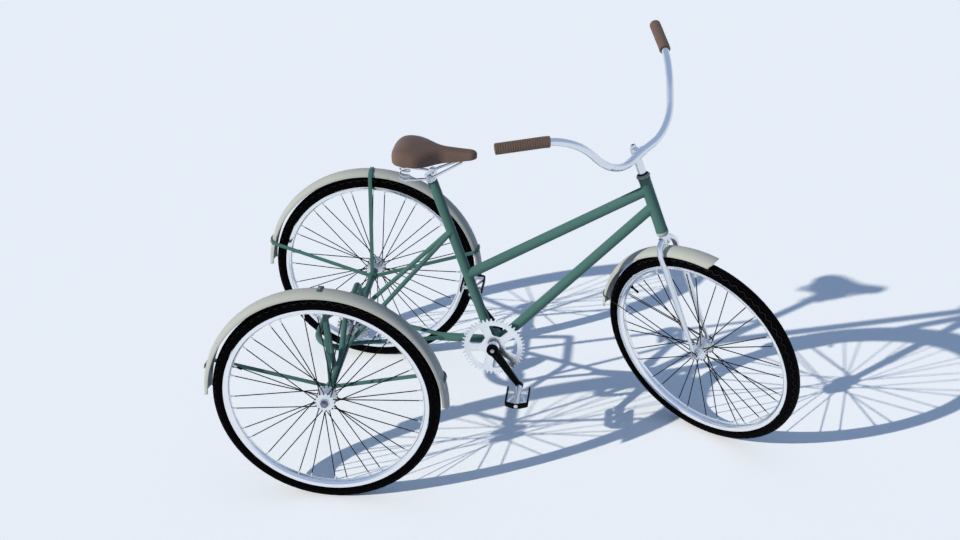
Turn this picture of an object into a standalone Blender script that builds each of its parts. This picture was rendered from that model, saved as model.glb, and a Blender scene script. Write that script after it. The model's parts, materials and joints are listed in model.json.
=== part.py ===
"""Adult tricycle with one steered front wheel and two rear wheels on a split axle.

Metres, +Z up, +X forwards and +Y to the rider's left. The pieces are laid out from the middle
of the rear axle, and the whole is then centred over the origin and stood on the ground. The
handlebar is turned to the right and the right-hand pedal is forward and low.
"""
import math

import bmesh
import bpy
from mathutils import Matrix, Vector

# Clearances
GAP = 0.0003
RUNNING = 0.0006

# Wheels, all three alike
WHEEL_RADIUS = 0.332
TYRE_HALF_WIDTH = 0.0185
TYRE_TREAD_HALF_WIDTH = 0.0077
TYRE_SHOULDER_DROP = 0.0108
TYRE_BEAD_HALF_WIDTH = 0.0130
TYRE_HEIGHT = 0.032
RIM_DEPTH = 0.0185
RIM_WALL_HEIGHT = 0.010
RIM_HALF_WIDTH = 0.0145
RIM_WELL_HALF_WIDTH = 0.0075
SPOKE_PAIRS = 16
SPOKE_RADIUS = 0.0006
SPOKE_PAIR_SPREAD = math.radians(4.2)
SPOKE_CROSSED_LEAD = math.radians(62)
SPOKE_STRAIGHT_LEAD = math.radians(9)
SPOKE_RIM_OFFSET = 0.002
SPOKE_SIDE_STEP = 0.0017
FLANGE_RADIUS = 0.031
FLANGE_THICKNESS = 0.004
FLANGE_EDGE = 0.0025

# Rear axle, measured outwards from the middle of the tricycle
TRACK = 0.8146
AXLE_SHAFT_RADIUS = 0.0075
AXLE_SHAFT_GAP = 0.004
AXLE_SHAFT_JOIN = 0.033
AXLE_TUBE_RADIUS = 0.011
AXLE_TUBE_BORE = 0.0096
AXLE_TUBE_START = 0.056
AXLE_TUBE_END = 0.377
BUSH_LENGTH = 0.020
BUSH_FLANGE_RADIUS = 0.0125
BUSH_FLANGE_THICKNESS = 0.003
REAR_HUB_HALF_LENGTH = 0.0262
REAR_HUB_BARREL = 0.014
REAR_FLANGE_OFFSET = 0.019
HUB_CAP_RADIUS = 0.0125
HUB_CAP_LENGTH = 0.013
HUB_CAP_CHAMFER = 0.006

# Freewheel on the middle of the axle, small to large
COG_TEETH = (14, 17, 20, 24)
COG_TOOTH_PITCH = 0.0127
COG_TOOTH_DEPTH = 0.0065
COG_TIP_SHARES = (0.5,)
COG_THICKNESS = 0.0024
COG_SPACING = 0.0085
COG_BARREL_RADIUS = 0.021
COG_BARREL_HALF_LENGTH = 0.024

# Main frame tubes: ends on the centre plane as (forwards, up) from the rear axle, then radius
HEAD_TOP_REACH = 0.875
HEAD_ANGLE = math.radians(70.4)
HEAD_LENGTH = 0.180
HEAD_RADIUS = 0.0175
HEAD_BORE = 0.0145
TOP_TUBE_DROP = 0.0415
TOP_TUBE_FOOT = (0.3613, 0.209)
TOP_TUBE_RADIUS = 0.0155
DOWN_TUBE_DROP = 0.0962
DOWN_TUBE_FOOT = (0.4567, -0.015)
DOWN_TUBE_RADIUS = 0.0155
SEAT_TUBE_TOP = (0.260, 0.5157)
SEAT_TUBE_FOOT = (0.4357, -0.015)
SEAT_TUBE_RADIUS = 0.015
SEAT_TUBE_BORE_DEPTH = 0.240
CRANK_CENTRE = (0.443, -0.013)
SHELL_RADIUS = 0.0205
SHELL_BORE = 0.0168
SHELL_HALF_LENGTH = 0.034

# Rear frame tubes
YOKE_END = (0.270, -0.0125)
YOKE_RADIUS = 0.013
CHAIN_STAY_RADIUS = 0.0065
CHAIN_STAY_ROOT = (0.285, 0.0075, -0.0118)
CHAIN_STAY_SPREAD = 0.094
SEAT_STAY_RADIUS = 0.007
SEAT_STAY_ROOT = (0.312, 0.010, 0.352)
SEAT_STAY_SPREAD = 0.110
ARCH_RADIUS = 0.0088
ARCH_FOOT = 0.195
ARCH_SHOULDER = 0.095
ARCH_RISE = 0.104
ARCH_BEND = 0.032
HOOP_RADIUS = 0.0095
HOOP_SPREAD = 0.120
HOOP_DEPTH = 0.100
HOOP_BEND = 0.085
BRACE_RADIUS = 0.008
BRACE_SPREAD = 0.270
BRACE_DEPTH = 0.085
BRACE_RISE = 0.034
BRACE_BEND = 0.060

# Mudguards and their stays
GUARD_CROWN_CLEARANCE = 0.0255
GUARD_EDGE_CLEARANCE = 0.004
GUARD_HALF_WIDTH = 0.027
GUARD_THICKNESS = 0.0014
REAR_GUARD_SPAN = (math.radians(0), math.radians(180))
FRONT_GUARD_SPAN = (math.radians(63), math.radians(157.5))
STAY_OFFSET = 0.3735
STAY_ROOT = 0.343
STAY_WIDTH = 0.0125
STAY_THICKNESS = 0.003
STAY_ANGLES = (math.radians(15), math.radians(90), math.radians(165))
STAY_RING_RADIUS = 0.016
STAY_RING_THICKNESS = 0.012
STAY_TAB_OVERHANG = 0.006
STAY_SHOULDER_INSET = 0.010
STAY_SHOULDER_WIDTH = 0.017
WIRE_RADIUS = 0.0022
WIRE_ANGLE = math.radians(148)
WIRE_ARCH_STEPS = 6

# Steering, with heights along the steering axis from the top of the head tube
STEER_ANGLE = math.radians(-34.5)
CUP_HEIGHT = 0.0110
CUP_RADIUS = 0.018
LOCKNUT_HEIGHT = 0.0142
LOCKNUT_RADIUS = 0.0195
STEERER_RADIUS = 0.0127
STEERER_BORE = 0.0111
STEERER_BORE_DEPTH = 0.130
CROWN_HEIGHT = 0.034
CROWN_RADIUS = 0.018
CROWN_STUD_RADIUS = 0.005
CROWN_STUD_LENGTH = 0.0099
BLADE_RADIUS = 0.0086
BLADE_SPREAD = 0.0395
BLADE_SHOULDER_DROP = 0.0155
BLADE_BEND = 0.027
BLADE_TAPER = 0.060
BLADE_TIP_RADIUS = 0.0042
DROPOUT_RADIUS = 0.014
DROPOUT_THICKNESS = 0.005
FRONT_AXLE_RADIUS = 0.0048
FRONT_NUT_RADIUS = 0.008
FRONT_NUT_LENGTH = 0.005
FRONT_AXLE_OVERHANG = 0.0015
FRONT_CONE_RADIUS = 0.0075
FRONT_CONE_LENGTH = 0.003
WIRE_EYE_RADIUS = 0.0085
WIRE_EYE_THICKNESS = 0.005
FRONT_HUB_BARREL = 0.0125
FRONT_FLANGE_OFFSET = 0.021

# Handlebar: corners of the bent tube as (forwards, sideways, up) from the top of the head tube
BAR_RADIUS = 0.011
BAR_CENTRE = (0.017, 0.000, 0.079)
BAR_LOW_CORNER = (0.033, 0.137, 0.082)
BAR_HIGH_CORNER = (0.020, 0.238, 0.255)
BAR_TIP = (-0.1198, 0.3862, 0.3025)
BAR_LOW_BEND = 0.150
BAR_HIGH_BEND = 0.165
GRIP_LENGTH = 0.152
GRIP_RADIUS = 0.0165
GRIP_END_WALL = 0.004
QUILL_RADIUS = 0.0107
QUILL_DEPTH = 0.075
QUILL_NECK_RADIUS = 0.0130
QUILL_TOP = 0.096
STEM_CLAMP_RADIUS = 0.0165
STEM_CLAMP_HALF_LENGTH = 0.022
STEM_BOLT_RADIUS = 0.0085
STEM_BOLT_HEIGHT = 0.010

# Cranks and pedals
CRANK_ANGLE = math.radians(53)
CRANK_LENGTH = 0.140
CRANK_OFFSET = 0.080
CRANK_THICKNESS = 0.013
CRANK_BOSS_RADIUS = 0.017
CRANK_EYE_RADIUS = 0.011
SPINDLE_RADIUS = 0.008
CARTRIDGE_FLANGE_RADIUS = 0.0195
CARTRIDGE_FLANGE_THICKNESS = 0.004
RING_TEETH = 46
RING_TIP_RADIUS = 0.0978
RING_TOOTH_DEPTH = 0.0075
RING_TIP_SHARES = (0.38, 0.62)
RING_OFFSET = 0.044
RING_THICKNESS = 0.0035
RING_WINDOWS = 5
RING_WINDOW_INNER = 0.037
RING_WINDOW_OUTER = 0.074
RING_WINDOW_SHARE = 0.70
RING_WINDOW_TAPER = 1 / 3
RING_WINDOW_TURN = math.radians(57)
RING_BOSS_RADIUS = 0.0155
PEDAL_SPINDLE_RADIUS = 0.006
PEDAL_START = 0.009
PEDAL_LENGTH = 0.090
PEDAL_NOSE = 0.013
PEDAL_HALF_WIDTH = 0.0345
PEDAL_HEIGHT = 0.015
PEDAL_PLATE = 0.003
PEDAL_BAR_PLACE = 0.0225
PEDAL_NOSE_SHARE = 1 / 3
PEDAL_BARREL_RADIUS = 0.0095

# Saddle, with places as (forwards, up) from the top of the seat post
POST_RADIUS = 0.0127
POST_LENGTH = 0.200
POST_RISE = 0.020
CLAMP_PLACE = (0.0038, -0.0002)
CLAMP_RADIUS = 0.013
CLAMP_HALF_LENGTH = 0.037
RAIL_RADIUS = 0.0038
RAIL_SPREAD = 0.030
RAIL_KNEE = (0.0223, 0.0103)
RAIL_NOSE_REACH = 0.0983
RAIL_NOSE_SPREAD = 0.011
RAIL_NOSE_CLEARANCE = 0.0021
RAIL_BEND = 0.020
SPRING_SETBACK = 0.0657
SPRING_SPREAD = 0.045
SPRING_SEAT_RISE = 0.0038
SPRING_LENGTH = 0.0433
SPRING_COIL_RADIUS = 0.0145
SPRING_WIRE_RADIUS = 0.0022
SPRING_TURNS = 2.5
SPRING_EYE_RADIUS = 0.010
SPRING_EYE_THICKNESS = 0.010
SADDLE_TAIL_SETBACK = 0.1087
SADDLE_LENGTH = 0.248
SADDLE_REAR_HALF_WIDTH = 0.085
SADDLE_NOSE_HALF_WIDTH = 0.0215
SADDLE_WIDEST = 0.26
SADDLE_REAR_DEPTH = 0.059
SADDLE_NOSE_DEPTH = 0.0195
SADDLE_NOSE_LIFT = 0.0105
SADDLE_DISH = 0.003
SADDLE_SAG = 0.008
SADDLE_WAIST = 0.62
SADDLE_SHOULDER = 0.55
SADDLE_CROWN = 0.75
SADDLE_SKIRT = 1.6
SADDLE_DRAWN_IN = 0.86
SADDLE_DRAW_START = 0.3
SADDLE_EDGE_SHARE = 0.35
SADDLE_TAIL_ROUNDING = 2.4
SADDLE_END_MARGIN = 0.04

# Fineness of the round shapes
WHEEL_SIDES = 36
TUBE_SIDES = 12
BAR_SIDES = 10
WIRE_SIDES = 6
RAIL_SIDES = 8
SPOKE_SIDES = 3
SHAFT_SIDES = 16
GUARD_STEPS = 18
GUARD_SECTION_STEPS = 6
CRANK_END_STEPS = 6
BEND_STEP = math.radians(15)
CURL_POINTS = 9
SADDLE_STATIONS = 12
SADDLE_SECTION = 14
SHARP_ANGLE = math.radians(40)
MERGE_DISTANCE = 1e-7

# Values that follow from the driving dimensions
HALF_TRACK = TRACK / 2
RIM_RADIUS = WHEEL_RADIUS - TYRE_HEIGHT
GUARD_CROWN = WHEEL_RADIUS + GUARD_CROWN_CLEARANCE
GUARD_EDGE = WHEEL_RADIUS + GUARD_EDGE_CLEARANCE
STEER_TILT = HEAD_ANGLE - math.pi / 2
STEER_TURN = Matrix.Rotation(STEER_TILT, 4, 'Y') @ Matrix.Rotation(STEER_ANGLE, 4, 'Z')
FRONT_LEAN = math.asin(abs(STEER_TURN[2][1]))
FRONT_HUB_HEIGHT = WHEEL_RADIUS * math.cos(FRONT_LEAN) + TYRE_TREAD_HALF_WIDTH * math.sin(FRONT_LEAN)
FRONT_HUB_HALF_LENGTH = BLADE_SPREAD - DROPOUT_THICKNESS / 2 - FRONT_CONE_LENGTH - 2 * GAP
CROWN_TOP = -HEAD_LENGTH - CUP_HEIGHT - 3 * GAP
FORK_LENGTH = GUARD_CROWN + GAP + CROWN_STUD_LENGTH + CROWN_HEIGHT - CROWN_TOP
HEAD_TOP = (HEAD_TOP_REACH, FRONT_HUB_HEIGHT - WHEEL_RADIUS + FORK_LENGTH * math.sin(HEAD_ANGLE))
Y_AXIS = Matrix.Rotation(-math.pi / 2, 4, 'X')
BENT_TUBE_SEAM = Vector((0.3, 0.2, 1))


# Scene, finishes and objects
for old in list(bpy.data.objects):
    bpy.data.objects.remove(old)


def finish(name, colour, roughness, metallic):
    """A plain surface of one colour."""
    made = bpy.data.materials.new(name)
    made.use_nodes = True
    shader = made.node_tree.nodes['Principled BSDF']
    shader.inputs['Base Color'].default_value = (*colour, 1.0)
    shader.inputs['Roughness'].default_value = roughness
    shader.inputs['Metallic'].default_value = metallic
    return made


GREEN = finish('green_enamel', (0.075, 0.19, 0.155), 0.35, 0.0)
CREAM = finish('cream_enamel', (0.58, 0.60, 0.53), 0.4, 0.0)
CHROME = finish('chrome_plate', (0.78, 0.79, 0.81), 0.12, 1.0)
STEEL = finish('bright_steel', (0.55, 0.56, 0.58), 0.3, 1.0)
BLACK = finish('black_enamel', (0.006, 0.006, 0.006), 0.3, 0.0)
RUBBER = finish('black_rubber', (0.008, 0.008, 0.008), 0.85, 0.0)
LEATHER = finish('brown_leather', (0.085, 0.058, 0.048), 0.55, 0.0)


def pivot(name, parent, matrix):
    """An empty on a joint's axis, which carries the pieces that move with it."""
    empty = bpy.data.objects.new(name, None)
    bpy.context.collection.objects.link(empty)
    empty.parent = parent
    empty.matrix_basis = matrix
    return empty


def node(name, shape, surface, parent, matrix=Matrix()):
    """One named piece from a finished shape."""
    mesh = bpy.data.meshes.new(name)
    shape.to_mesh(mesh)
    shape.free()
    mesh.shade_smooth()
    mesh.set_sharp_from_angle(angle=SHARP_ANGLE)
    mesh.materials.append(surface)
    piece = bpy.data.objects.new(name, mesh)
    bpy.context.collection.objects.link(piece)
    piece.parent = parent
    piece.matrix_basis = matrix
    return piece


def combine(piece, shape, operation, parent, matrix=Matrix()):
    """Join a shape to a piece, or cut it away, with a hidden helper object."""
    helper = node(f'{piece.name}_{operation.lower()}_{len(piece.modifiers)}', shape, GREEN, parent, matrix)
    helper.hide_render = True
    helper.display_type = 'WIRE'
    modifier = piece.modifiers.new(operation.lower(), 'BOOLEAN')
    modifier.operation = operation
    modifier.solver = 'EXACT'
    modifier.object = helper


# Shapes
def closed_shape(shape):
    """Turn every face of a closed shape outwards."""
    bmesh.ops.remove_doubles(shape, verts=shape.verts, dist=MERGE_DISTANCE)
    bmesh.ops.recalc_face_normals(shape, faces=shape.faces)
    return shape


def rings_solid(rings):
    """A solid skinned over a row of closed rings, with a flat cap at each end."""
    shape = bmesh.new()
    rows = [[shape.verts.new(point) for point in ring] for ring in rings]
    count = len(rows[0])
    for lower, upper in zip(rows, rows[1:]):
        for i in range(count):
            j = (i + 1) % count
            shape.faces.new((lower[i], lower[j], upper[j], upper[i]))
    shape.faces.new(rows[0])
    shape.faces.new(rows[-1])
    return closed_shape(shape)


def turned(profile, sides=SHAFT_SIDES):
    """A closed profile of (radius, along) spun about Z, sized across its flats."""
    shape = bmesh.new()
    stretch = 1 / math.cos(math.pi / sides)
    turns = [(i + 0.5) * 2 * math.pi / sides for i in range(sides)]
    loops = []
    for radius, along in profile:
        if radius == 0:
            loops.append([shape.verts.new((0, 0, along))])
            continue
        reach = radius * stretch
        loop = [shape.verts.new((reach * math.cos(t), reach * math.sin(t), along)) for t in turns]
        loops.append(loop)
    for first, second in zip(loops, loops[1:] + loops[:1]):
        if len(first) == 1 and len(second) == 1:
            continue
        for i in range(sides):
            j = (i + 1) % sides
            corners = [first[i % len(first)], first[j % len(first)]]
            corners += [second[j % len(second)], second[i % len(second)]]
            shape.faces.new(list(dict.fromkeys(corners)))
    return closed_shape(shape)


def along_y(shape):
    """Lay a shape that was made along Z down along Y."""
    shape.transform(Y_AXIS)
    return shape


def extruded(outline, thickness):
    """A flat outline in XZ made solid along Y, centred on the plane."""
    half = thickness / 2
    back = [Vector((x, -half, z)) for x, z in outline]
    front = [Vector((x, half, z)) for x, z in outline]
    return rings_solid([back, front])


def axis_matrix(start, end):
    """A place at the start, with Z pointing to the end."""
    direction = (end - start).normalized()
    turn = Vector((0, 0, 1)).rotation_difference(direction)
    return Matrix.Translation(start) @ turn.to_matrix().to_4x4()


def rod(start, end, radius, sides=TUBE_SIDES, spare=0.0):
    """A solid rod between two points, as a shape and its place."""
    length = (end - start).length
    shape = turned([(0, -spare), (radius, -spare), (radius, length + spare), (0, length + spare)], sides)
    return shape, axis_matrix(start, end)


def tube_node(name, start, end, radius, surface, parent):
    """A straight tube as one piece."""
    shape, place = rod(start, end, radius)
    return node(name, shape, surface, parent, place)


def trim(piece, parent, start, end, radius, sides=TUBE_SIDES):
    """Cut a piece back from a neighbouring rod, leaving a hair of clearance."""
    shape, place = rod(start, end, radius + GAP, sides, GAP)
    combine(piece, shape, 'DIFFERENCE', parent, place)


def bent_path(corners, bend):
    """A path through corners, each inner one rounded to the bend radius."""
    path = [corners[0]]
    for before, corner, after in zip(corners, corners[1:], corners[2:]):
        arrive = (corner - before).normalized()
        leave = (after - corner).normalized()
        angle = arrive.angle(leave)
        inward = (leave - arrive).normalized()
        centre = corner + inward * (bend / math.cos(angle / 2))
        start = corner - arrive * (bend * math.tan(angle / 2))
        steps = max(2, math.ceil(angle / BEND_STEP))
        spoke = start - centre
        axis = arrive.cross(leave)
        for i in range(steps + 1):
            path.append(centre + Matrix.Rotation(angle * i / steps, 3, axis) @ spoke)
    path.append(corners[-1])
    return path


def swept(path, section, sideways, sizes=None):
    """A section of (side, lift) corners carried along a path, mitred at its bends."""
    heading = (path[1] - path[0]).normalized()
    side = (sideways - heading * sideways.dot(heading)).normalized()
    rings = []
    for i, point in enumerate(path):
        lift = heading.cross(side)
        onward = heading
        if 0 < i < len(path) - 1:
            onward = (path[i + 1] - point).normalized()
        bisector = (heading + onward).normalized()
        ring = []
        for across, up in section:
            offset = (side * across + lift * up) * (sizes[i] if sizes else 1.0)
            slide = offset.dot(bisector) / heading.dot(bisector)
            ring.append(point + offset - heading * slide)
        rings.append(ring)
        side = heading.rotation_difference(onward) @ side
        heading = onward
    return rings_solid(rings)


def circle(radius, sides):
    """Corners of a round section, sized across its flats."""
    reach = radius / math.cos(math.pi / sides)
    turns = [(i + 0.5) * 2 * math.pi / sides for i in range(sides)]
    return [(reach * math.cos(t), reach * math.sin(t)) for t in turns]


def bent_tube(corners, bend, radius, sides=TUBE_SIDES):
    """A round tube with smooth bends."""
    return swept(bent_path(corners, bend), circle(radius, sides), BENT_TUBE_SEAM)


def centre_plane(place):
    """A point on the tricycle's centre plane from (forwards, up)."""
    return Vector((place[0], 0, place[1]))


def toothed_outline(teeth, tip_radius, depth, tip_shares):
    """A ring of plain teeth, with the tips at the given shares of each tooth's pitch."""
    outline = []
    for i in range(teeth):
        corners = [(0.0, tip_radius - depth)] + [(share, tip_radius) for share in tip_shares]
        for share, radius in corners:
            turn = 2 * math.pi * (i + share) / teeth
            outline.append((radius * math.cos(turn), radius * math.sin(turn)))
    return outline


# Joint axes
ROOT = pivot('tricycle', None, Matrix())
STEERING = pivot('steering_axis', ROOT, Matrix.Translation(centre_plane(HEAD_TOP)) @ STEER_TURN)
BARS = pivot('stem_slide_axis', STEERING, Matrix())
FRONT_ROLL = Matrix.Rotation(math.atan2(STEER_TURN[2][0], STEER_TURN[2][2]), 4, 'Y')
FRONT_HUB = Vector((0, 0, -FORK_LENGTH))
FRONT_AXLE = pivot('front_axle_axis', STEERING, Matrix.Translation(FRONT_HUB) @ FRONT_ROLL)
CRANKS = pivot('crank_axis', ROOT, Matrix.Translation(centre_plane(CRANK_CENTRE))
               @ Matrix.Rotation(CRANK_ANGLE, 4, 'Y'))
LEVEL = Matrix.Rotation(-CRANK_ANGLE, 4, 'Y')
SIDES = {'right': -1, 'left': 1}
PEDALS = {}
REAR_WHEELS = {}
for word, sign in SIDES.items():
    eye = Matrix.Translation((-sign * CRANK_LENGTH, 0, 0))
    PEDALS[word] = pivot(f'pedal_{word}_axis', CRANKS, eye @ LEVEL)
    hub = Matrix.Translation((0, sign * HALF_TRACK, 0))
    REAR_WHEELS[word] = pivot(f'rear_wheel_{word}_axis', ROOT, hub)
AXLE = pivot('freewheel_axis', REAR_WHEELS['right'], Matrix.Translation((0, HALF_TRACK, 0)))
SEAT_LINE = (centre_plane(SEAT_TUBE_TOP) - centre_plane(SEAT_TUBE_FOOT)).normalized()
SEAT = pivot('seat_post_axis', ROOT, Matrix.Translation(centre_plane(SEAT_TUBE_TOP) + SEAT_LINE * POST_RISE))


def saddle_base(share):
    """Height of the cover's underside at a share of its length, resting on the springs."""
    def curve(place):
        return SADDLE_NOSE_LIFT * place - SADDLE_SAG * math.sin(math.pi * place)

    spring_share = (SADDLE_TAIL_SETBACK - SPRING_SETBACK) / SADDLE_LENGTH
    return SPRING_SEAT_RISE + SPRING_LENGTH + curve(share) - curve(spring_share)


RAIL_NOSE_BASE = saddle_base((SADDLE_TAIL_SETBACK + RAIL_NOSE_REACH) / SADDLE_LENGTH)
RAIL_NOSE = (RAIL_NOSE_REACH, RAIL_NOSE_BASE - RAIL_RADIUS - RAIL_NOSE_CLEARANCE)
SADDLE = pivot('saddle_nose_axis', SEAT, Matrix.Translation(centre_plane(RAIL_NOSE)))


# Wheels
def tyre(name, parent):
    """A rubber tyre, flat across the tread, seated on the rim's edge."""
    shoulder = WHEEL_RADIUS - TYRE_SHOULDER_DROP
    flank = 2 * (WHEEL_RADIUS - TYRE_HALF_WIDTH) - shoulder
    seat = RIM_RADIUS + GAP
    half = [(WHEEL_RADIUS, TYRE_TREAD_HALF_WIDTH), (shoulder, TYRE_HALF_WIDTH)]
    half += [(flank, TYRE_HALF_WIDTH), (seat, TYRE_BEAD_HALF_WIDTH)]
    profile = half + [(radius, -along) for radius, along in reversed(half)]
    node(name, along_y(turned(profile, WHEEL_SIDES)), RUBBER, parent)


def rim(name, parent):
    """A chromed steel rim with upright walls and a narrower well."""
    wall = RIM_RADIUS - RIM_WALL_HEIGHT
    half = [(RIM_RADIUS, RIM_HALF_WIDTH), (wall, RIM_HALF_WIDTH)]
    half += [(RIM_RADIUS - RIM_DEPTH, RIM_WELL_HALF_WIDTH)]
    profile = half + [(radius, -along) for radius, along in reversed(half)]
    node(name, along_y(turned(profile, WHEEL_SIDES)), CHROME, parent)


def spoke(pair, hand, offset, lead, side_step):
    """One spoke from a hub flange to the rim, as a shape in the wheel's own place."""
    middle = 2 * math.pi * pair / SPOKE_PAIRS
    hub_turn = middle + hand * lead
    rim_turn = middle + hand * SPOKE_PAIR_SPREAD
    hub_reach = FLANGE_RADIUS - FLANGE_EDGE
    rim_reach = RIM_RADIUS - RIM_DEPTH - GAP
    hub_side = offset + hand * side_step
    rim_side = math.copysign(SPOKE_RIM_OFFSET, offset)
    start = Vector((hub_reach * math.cos(hub_turn), hub_side, hub_reach * math.sin(hub_turn)))
    end = Vector((rim_reach * math.cos(rim_turn), rim_side, rim_reach * math.sin(rim_turn)))
    shape, place = rod(start, end, SPOKE_RADIUS, SPOKE_SIDES)
    shape.transform(place)
    return shape


def spokes(flange_offset, outer_sign):
    """Crossed spokes on the outer flange and straight ones on the inner flange."""
    joined = bpy.data.meshes.new('spokes')
    together = bmesh.new()
    for pair in range(SPOKE_PAIRS):
        crossed = pair % 2 == 0
        offset = outer_sign * flange_offset if crossed else -outer_sign * flange_offset
        lead = SPOKE_CROSSED_LEAD if crossed else SPOKE_STRAIGHT_LEAD
        side_step = SPOKE_SIDE_STEP if crossed else 0.0
        for hand in (-1, 1):
            single = spoke(pair, hand, offset, lead, side_step)
            single.to_mesh(joined)
            single.free()
            together.from_mesh(joined)
    return together


def hub_shell(half_length, barrel, flange_offset, bore):
    """A turned hub with two spoke flanges and a bore for its axle."""
    half_flange = FLANGE_THICKNESS / 2
    inner = flange_offset - half_flange
    outer = flange_offset + half_flange
    half = [(barrel, inner), (FLANGE_RADIUS, inner), (FLANGE_RADIUS, outer), (barrel, outer)]
    half += [(barrel, half_length), (bore, half_length)]
    profile = half + [(radius, -along) for radius, along in reversed(half)]
    return along_y(turned(profile))


def wheel(prefix, suffix, parent, outer_sign, hub_sizes):
    """Tyre, rim and spoked hub of one wheel."""
    half_length, barrel, flange_offset, bore = hub_sizes
    tyre(f'{prefix}_tyre{suffix}', parent)
    rim(f'{prefix}_rim{suffix}', parent)
    shell = hub_shell(half_length, barrel, flange_offset, bore)
    hub = node(f'{prefix}_hub{suffix}', shell, STEEL, parent)
    combine(hub, spokes(flange_offset, outer_sign), 'UNION', parent)


def front_wheel():
    """The steered wheel, free on its own axle."""
    bore = FRONT_AXLE_RADIUS + RUNNING
    sizes = (FRONT_HUB_HALF_LENGTH, FRONT_HUB_BARREL, FRONT_FLANGE_OFFSET, bore)
    wheel('front', '', FRONT_AXLE, -1, sizes)


def rear_wheels():
    """The two rear wheels, each fixed to its own half of the axle."""
    sizes = (REAR_HUB_HALF_LENGTH, REAR_HUB_BARREL, REAR_FLANGE_OFFSET, AXLE_SHAFT_RADIUS + GAP)
    for word, sign in SIDES.items():
        wheel('rear', f'_{word}', REAR_WHEELS[word], sign, sizes)


# Rear axle
def axle_shafts():
    """Two half shafts: the right one reaches past the middle and carries the freewheel."""
    cap_start = HALF_TRACK + REAR_HUB_HALF_LENGTH + GAP
    cap_end = cap_start + HUB_CAP_LENGTH
    inner_ends = {'right': -AXLE_SHAFT_JOIN, 'left': AXLE_SHAFT_JOIN + AXLE_SHAFT_GAP}
    for word, sign in SIDES.items():
        profile = [(0, inner_ends[word]), (AXLE_SHAFT_RADIUS, inner_ends[word])]
        profile += [(AXLE_SHAFT_RADIUS, cap_start), (HUB_CAP_RADIUS, cap_start)]
        profile += [(HUB_CAP_RADIUS, cap_end - HUB_CAP_CHAMFER)]
        profile += [(HUB_CAP_RADIUS - HUB_CAP_CHAMFER, cap_end), (0, cap_end)]
        mirrored = [(radius, sign * (along - HALF_TRACK)) for radius, along in profile]
        node(f'axle_shaft_{word}', along_y(turned(mirrored)), STEEL, REAR_WHEELS[word])


def axle_tube_ends(sign):
    """Both ends of one axle tube."""
    start = Vector((0, sign * AXLE_TUBE_START, 0))
    end = Vector((0, sign * AXLE_TUBE_END, 0))
    return start, end


def axle_tubes():
    """Painted tubes that house the half shafts, with a flanged bush in each outer end."""
    for word, sign in SIDES.items():
        start, end = axle_tube_ends(sign)
        length = AXLE_TUBE_END - AXLE_TUBE_START
        profile = [(AXLE_TUBE_RADIUS, 0), (AXLE_TUBE_RADIUS, length)]
        profile += [(AXLE_TUBE_BORE, length), (AXLE_TUBE_BORE, 0)]
        node(f'axle_tube_{word}', turned(profile), GREEN, ROOT, axis_matrix(start, end))
        bore = AXLE_SHAFT_RADIUS + RUNNING
        sleeve = AXLE_TUBE_BORE - GAP
        lip = length + GAP
        face = lip + BUSH_FLANGE_THICKNESS
        bush = [(bore, length - BUSH_LENGTH), (sleeve, length - BUSH_LENGTH), (sleeve, lip)]
        bush += [(BUSH_FLANGE_RADIUS, lip), (BUSH_FLANGE_RADIUS, face), (bore, face)]
        node(f'axle_bush_{word}', turned(bush), STEEL, ROOT, axis_matrix(start, end))


def freewheel():
    """A stack of cogs on one barrel."""
    bore = AXLE_SHAFT_RADIUS + RUNNING
    half = COG_BARREL_HALF_LENGTH
    barrel = [(bore, -half), (COG_BARREL_RADIUS, -half), (COG_BARREL_RADIUS, half), (bore, half)]
    stack = node('freewheel_cogs', along_y(turned(barrel)), STEEL, AXLE)
    first = -COG_SPACING * (len(COG_TEETH) - 1) / 2
    for i, teeth in enumerate(COG_TEETH):
        pitch_radius = COG_TOOTH_PITCH / (2 * math.sin(math.pi / teeth))
        tip = pitch_radius + COG_TOOTH_DEPTH / 2
        cog = extruded(toothed_outline(teeth, tip, COG_TOOTH_DEPTH, COG_TIP_SHARES), COG_THICKNESS)
        combine(stack, cog, 'UNION', AXLE, Matrix.Translation((0, first + i * COG_SPACING, 0)))
    shape, place = rod(Vector((0, -half, 0)), Vector((0, half, 0)), bore, SHAFT_SIDES, COG_SPACING)
    combine(stack, shape, 'DIFFERENCE', AXLE, place)


# Frame
def head_point(drop):
    """A point on the steering axis, so far below the top of the head tube."""
    axis = Vector((-math.cos(HEAD_ANGLE), 0, math.sin(HEAD_ANGLE)))
    return centre_plane(HEAD_TOP) - axis * drop


def crank_shell_ends():
    """Both ends of the crank shell."""
    half = Vector((0, SHELL_HALF_LENGTH, 0))
    return centre_plane(CRANK_CENTRE) - half, centre_plane(CRANK_CENTRE) + half


def head_tube():
    """The hollow tube that the fork turns in, with a cup pressed on its lower end."""
    length = HEAD_LENGTH
    profile = [(HEAD_RADIUS, 0), (HEAD_RADIUS, length), (HEAD_BORE, length), (HEAD_BORE, 0)]
    place = axis_matrix(head_point(length), head_point(0))
    node('head_tube', turned(profile), GREEN, ROOT, place)
    bore = STEERER_RADIUS + RUNNING
    cup = [(CUP_RADIUS, -GAP), (bore, -GAP), (bore, -GAP - CUP_HEIGHT)]
    cup += [(CUP_RADIUS - CUP_HEIGHT / 4, -GAP - CUP_HEIGHT)]
    node('headset_lower_cup', turned(cup), CREAM, ROOT, place)


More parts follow.
